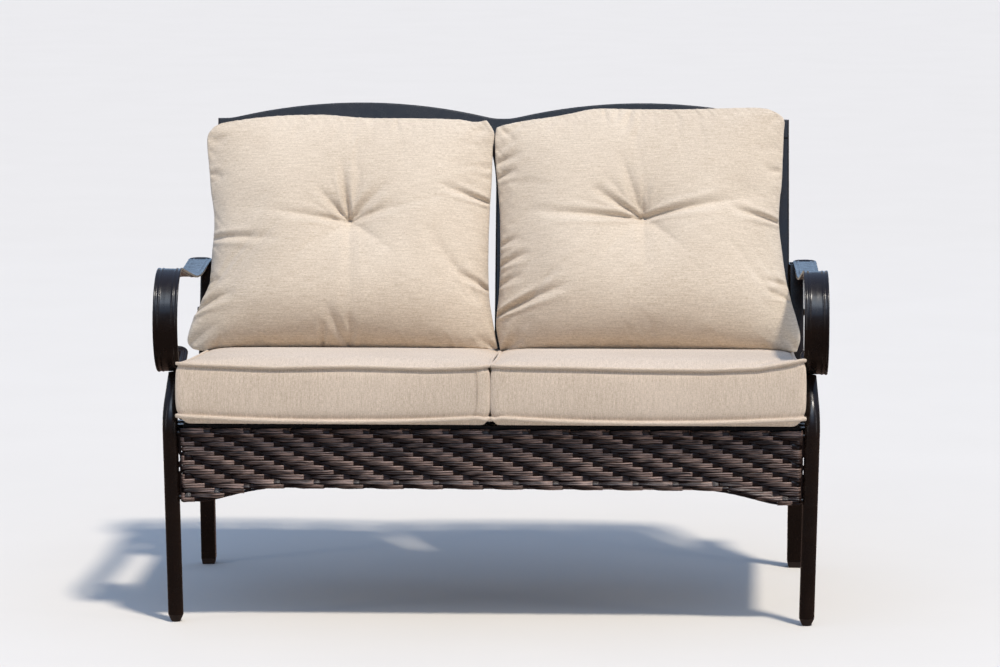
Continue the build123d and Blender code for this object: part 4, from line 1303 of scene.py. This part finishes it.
SEAT_CLEARANCE = 0.0008
SLOPE_REACH = 0.055
SLOPE_RETURN = 0.014
SLOPE_SIDEWAYS = 0.26
PUCKER = 0.0011
FOLD_LIP = 0.38
FOLD_BOW = 0.012
FOLD_GROWTH = 0.03
FOLD_FADE = 0.85


def fold_depth(x, rise, folds, rise_in=0.0):
    """A crease is a narrow valley, exp(-(off / half width)^1.4), between two low lips.
    It grows over the share rise_in and fades to nothing at its end. Where creases meet,
    the deepest valley and the highest lip hold."""
    valleys, lips = np.zeros_like(x), np.zeros_like(x)
    for x0, r0, x1, r1, depth, width in folds * MM:
        length = np.hypot(x1 - x0, r1 - r0)
        run = np.array([x1 - x0, r1 - r0]) / length
        along = ((x - x0) * run[0] + (rise - r0) * run[1]) / length
        share = np.clip(along, 0, 1)
        bow = FOLD_BOW * length * np.sin(share * pi)
        off = (x - x0) * run[1] - (rise - r0) * run[0] + bow
        spread = width * (0.7 + 0.9 * share)
        before = np.exp(-((np.minimum(along, 0) * length / width) ** 2))
        grown = np.clip(along / rise_in, 0, 1) if rise_in else before
        strength = depth * grown * (1 - share) ** FOLD_FADE
        away = np.abs(off) / spread
        valleys = np.maximum(valleys, strength * np.exp(-(away**1.4)))
        lips = np.maximum(lips, strength * FOLD_LIP * np.exp(-(((away - 2.3) / 1.1) ** 2)))
    return valleys - lips


def crease_slope(x, rise, tuft, crease):
    """Above the crease that runs through the tuft, the face slopes down into it:
    depth * exp(-height over the crease / SLOPE_REACH), and it recovers quickly below."""
    rise_left, rise_right, depth = crease
    aside = x - tuft[0]
    line = tuft[1] + np.where(aside < 0, -aside * rise_left, aside * rise_right)
    over = rise - line
    fall = np.where(over > 0, np.exp(-over / SLOPE_REACH), np.exp(over / SLOPE_RETURN))
    return depth * fall * np.clip(1 - (aside / SLOPE_SIDEWAYS) ** 2, 0, 1)


def puckers(measure, seed):
    """A ragged line from sines of unlike lengths, about one high."""
    rng = np.random.default_rng(seed)
    waves = rng.uniform(90, 420, 9)
    turns = rng.uniform(0, 2 * pi, 9)
    return np.sin(measure[..., None] * waves + turns).sum(axis=-1) / 3


# %% [markdown]
# The pillow's cover settles first, as a coarse cloth. One subdivision then makes its
# cells fine enough for folds, which are pressed into the front along the formulas
# above.

# %% Sew a back cushion
PILLOW_ACROSS = 0.58
PILLOW_UP = 0.475
REAR_PATTERN_SHIFT = 1.3
FACE_BEGINS = SEAM_FORWARD - 0.004
FACE_WHOLE = SEAM_FORWARD + 0.012
PUCKER_REACH = 0.015


def pillow_sides(shape):
    """The four sides of the outline, resampled so that both panels share a grid."""
    across, up = int(PILLOW_ACROSS / PILLOW_CELL), int(PILLOW_UP / PILLOW_CELL)
    cells_on = {"bottom": across, "right": up, "top": across, "left": up}
    return [resampled(smooth_line(shape[name]), count) for name, count in cells_on.items()]


def rounded(share):
    """A quarter of a bulge: 0 at 0, level at 1, and 1 from there on."""
    return 1 - (1 - np.clip(share, 0, 1)) ** 2.0


def pillow_fullness(u, v):
    """How far the two faces stand off the seam, and how far the front one sags. u runs
    from -1 to 1 across and v from 0 to 1 up. The front is fullest low down."""
    wide = (1 - np.abs(u) ** 2.8) ** 0.58
    below = np.clip(v / 0.29, 0, 1)
    above = np.clip((v - 0.21) / 0.79, 0, 1)
    tall = rounded(below) ** 0.60 * (1 - above**1.25) ** 0.95
    sag = PILLOW_SAG * np.sin(pi * below**0.5) * wide
    behind = (wide * rounded(v / 0.16) * rounded((1 - v) / 0.2)) ** 0.5
    return PILLOW_FULL * wide * tall, (SEAM_FORWARD - PILLOW_REAR) * behind, sag


def from_line(places, line):
    """Distance from each place to the nearest point of a line."""
    near = np.full(len(places), np.inf)
    for block in np.array_split(line, 8):
        gap = np.linalg.norm(places[:, None] - block[None], axis=2).min(axis=1)
        near = np.minimum(near, gap)
    return near


def seat_top_under(points):
    """How far points lie over the seat cushions' tops, along the seat's own up."""
    away = points - SEAT_ORIGIN
    setback, height = away @ SEAT_BACKWARDS, away @ SEAT_UP
    x = points[:, 0]
    crown = np.where(x < 0, crown_height(x, setback, -1), crown_height(x, setback, 1))
    return height - (SEAT_TOP_SEAM + np.where(setback < SEAT_REAR, crown, 0))


def sewn_pillow(side_name, shape):
    """The closed cover before its folds: two panels that share the points of the seam."""
    panel = panel_from_sides(*pillow_sides(shape))
    rows, columns = panel.shape[:2]
    x, rise = panel[..., 0], panel[..., 1]
    full, thick_rear, sag = pillow_fullness(
        np.linspace(-1, 1, columns)[None], np.linspace(0, 1, rows)[:, None]
    )
    front_numbers = numbered(rows, columns)
    rear_numbers = numbered(rows, columns, first=rows * columns)
    border = np.zeros((rows, columns), bool)
    border[0], border[-1], border[:, 0], border[:, -1] = True, True, True, True
    shared = np.where(border, front_numbers, rear_numbers)
    used = np.concatenate([front_numbers.ravel(), rear_numbers[~border].ravel()])
    renumber = np.full(2 * rows * columns, -1)
    renumber[used] = np.arange(len(used))
    flat = np.concatenate([
        np.stack([x, rise - sag, SEAM_FORWARD + full], axis=-1).reshape(-1, 3),
        np.stack([x, rise, SEAM_FORWARD - thick_rear], axis=-1).reshape(-1, 3),
    ])[used]
    pattern = np.stack([x, rise], axis=-1)
    front_patch = renumber[front_numbers]
    rear_patch = renumber[shared]
    patches = [
        (front_patch, pattern), (rear_patch[:, ::-1], pattern[:, ::-1] + REAR_PATTERN_SHIFT),
    ]
    body = f"back_cushion_{side_name}"
    cover = make_piece(body, back_point(*flat.T), patches, body, "cushion_cover", pillow_cloth)
    held = np.zeros(len(flat))
    held[rim(front_patch)] = 0.9
    from_tuft = np.hypot(*(flat[:, :2] - shape["tuft"]).T)
    held[(from_tuft < TUFT_HELD) & (flat[:, 2] > SEAM_FORWARD)] = 1.0
    held[(flat[:, 2] < PILLOW_REAR + REAR_HELD)] = 1.0
    inflate(cover, PILLOW_PRESSURE, PILLOW_MOVE_CAP, held)
    return cover


def back_cushion(side_name, side):
    """Folds, gathers and the tuft are pressed into the front of the settled cover. No
    point may end behind the back plane or under the seat cushions' tops."""
    shape = PILLOWS[side_name]
    cover = sewn_pillow(side_name, shape)
    settled = refined(cover)
    away = settled - KNEE
    x, rise, forward = away @ ACROSS, away @ BACK_UP, away @ BACK_FORWARD
    bottom, right, top, left = pillow_sides(shape)
    outline = np.concatenate([line[:-1] for line in (bottom, right, top[::-1], left[::-1])])
    near = from_line(np.stack([x, rise], axis=1), outline)
    in_front = eased(forward, FACE_BEGINS, FACE_WHOLE)
    from_tuft = np.hypot(x - shape["tuft"][0], rise - shape["tuft"][1])
    dip = TUFT_DIP * np.exp(-((from_tuft / TUFT_REACH) ** TUFT_POWER))
    folds = fold_depth(x, rise, TUFT_FOLDS[side_name], FOLD_GROWTH)
    gathers = fold_depth(x, rise, SEAM_GATHERS[side_name])
    ragged = PUCKER * puckers(x * 1.3 + rise, 7 + side) * np.exp(-near / PUCKER_REACH)
    slope = crease_slope(x, rise, shape["tuft"], shape["crease"])
    press = in_front * (dip + folds + gathers + slope) + ragged
    settled = settled - press[:, None] * BACK_FORWARD
    behind = (settled - KNEE) @ BACK_FORWARD - PILLOW_REAR
    settled = settled + np.clip(-behind, 0, None)[:, None] * BACK_FORWARD
    over = seat_top_under(settled) - SEAT_CLEARANCE
    settled = settled + np.clip(-over, 0, None)[:, None] * SEAT_UP
    set_coordinates(cover.data, settled)
    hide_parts(f"back_cushion_cover_{side_name}", f"back_cushion_fibre_{side_name}")


for side_name, side in SIDES:
    back_cushion(side_name, side)

# %% [markdown]
# ## Floor, light and camera
#
# The loveseat stands on a pale floor in open air: a warm sun high on the
# right draws the shadows under the piping and in the folds, and a blue sky fills
# them. A dark coat shows mostly what it mirrors, so five panels draw its shine: two
# upright strips give the long glints on the tubes, and three wide ones are seen in
# gloss alone. The floor is left out of the gloss, so the coat mirrors the dark, warm
# ground colour of the sky's lower half instead of a white sheet.
# The camera stands eight metres off with a long lens, a little right of the middle,
# and looks slightly down.

# %% Floor
def plain_floor(half_size=30.0):
    mesh = bpy.data.meshes.new("floor")
    corners = [(-half_size, -half_size, 0), (half_size, -half_size, 0),
               (half_size, half_size, 0), (-half_size, half_size, 0)]
    mesh.from_pydata(corners, [], [(0, 1, 2, 3)])
    mesh.materials.append(pale_floor.material)
    floor = linked("floor", mesh)
    floor.visible_glossy = False
    return floor


plain_floor()

# %% Lights
SUN_HEIGHT = radians(65)
SUN_FROM_RIGHT = radians(38)
SUN_POWER = 3.5
SUN_SOFTNESS = radians(6)



def facing(away):
    """A turn for a lamp or camera that looks opposite to this direction and stays level."""
    away = unit(np.array(away, float))
    across = unit(np.cross((0, 0, 1), away))
    return Matrix((across, np.cross(away, across), away)).transposed().to_4x4()


lamp = bpy.data.lights.new("key", "SUN")
lamp.energy = SUN_POWER
lamp.angle = SUN_SOFTNESS
lamp.color = (1.0, 0.935, 0.84)
key = linked("key", lamp)
key.matrix_world = facing([
    cos(SUN_HEIGHT) * sin(SUN_FROM_RIGHT), -cos(SUN_HEIGHT) * cos(SUN_FROM_RIGHT), sin(SUN_HEIGHT)
])

world = bpy.data.worlds.new("pale_room")
world.use_nodes = True
sky = NodePlan(world.node_tree)
height = sky.add("SeparateXYZ", "Z", {}, {0: sky.add("TexCoord", "Generated")})
tone = sky.blend(height.between(0.0, 0.9), colour(0.19, 0.21, 0.24), colour(0.42, 0.60, 0.96))
tone = sky.blend(height.between(-0.12, 0.02), colour(0.195, 0.128, 0.104), tone)
world.node_tree.links.new(tone.socket, world.node_tree.nodes["Background"].inputs["Color"])
bpy.context.scene.world = world


def soft_panel(name, place, aim, power, size, tint=(1.0, 1.0, 1.0), only_gloss=False):
    """A flat lamp that faces a point. Where it is only for gloss, it draws itself in the
    coat of the frame and adds no light to cloth or floor."""
    lamp = bpy.data.lights.new(name, "AREA")
    lamp.shape = "RECTANGLE"
    lamp.size, lamp.size_y = size
    lamp.energy = power
    lamp.color = tint
    holder = linked(name, lamp)
    holder.matrix_world = Matrix.Translation(place) @ facing(np.subtract(place, aim))
    holder.visible_camera = False
    holder.visible_diffuse = not only_gloss


SKY_TINT = (0.42, 0.66, 1.0)
soft_panel("strip_right", (3.3, -1.6, 1.6), (0, 0, 1.6), 14, (0.35, 2.6))
soft_panel("strip_left", (-3.3, -1.6, 1.6), (0, 0, 1.6), 12, (0.35, 2.6))
soft_panel("sky_front", (0, -4.6, 4.2), (0, 0, 0.6), 95, (6.0, 3.2), SKY_TINT, True)
soft_panel("glow_front", (0, -3.0, 4.6), (0, 0, 0.6), 130, (3.0, 2.3), (0.80, 0.90, 1.0), True)
soft_panel("sky_rear", (0, 6.0, 1.7), (0, 0, 0.6), 50, (9.0, 1.8), SKY_TINT, True)
bpy.context.scene.view_settings.view_transform = "Standard"

# %% Camera
EYE = (0.29094, FRONT_Y - 8.0, 1.6527)
EYE_YAW = -0.0341
EYE_PITCH = 0.13641
FOCAL_WIDTHS = 4.30424
SENSOR = 36.0
lens = bpy.data.cameras.new("photo_view")
lens.sensor_fit = "HORIZONTAL"
lens.sensor_width = SENSOR
lens.lens = FOCAL_WIDTHS * SENSOR
camera = linked("photo_view", lens)
camera.matrix_world = Matrix.Translation(EYE) @ facing([
    -sin(EYE_YAW) * cos(EYE_PITCH), -cos(EYE_YAW) * cos(EYE_PITCH), sin(EYE_PITCH)
])
bpy.context.scene.camera = camera
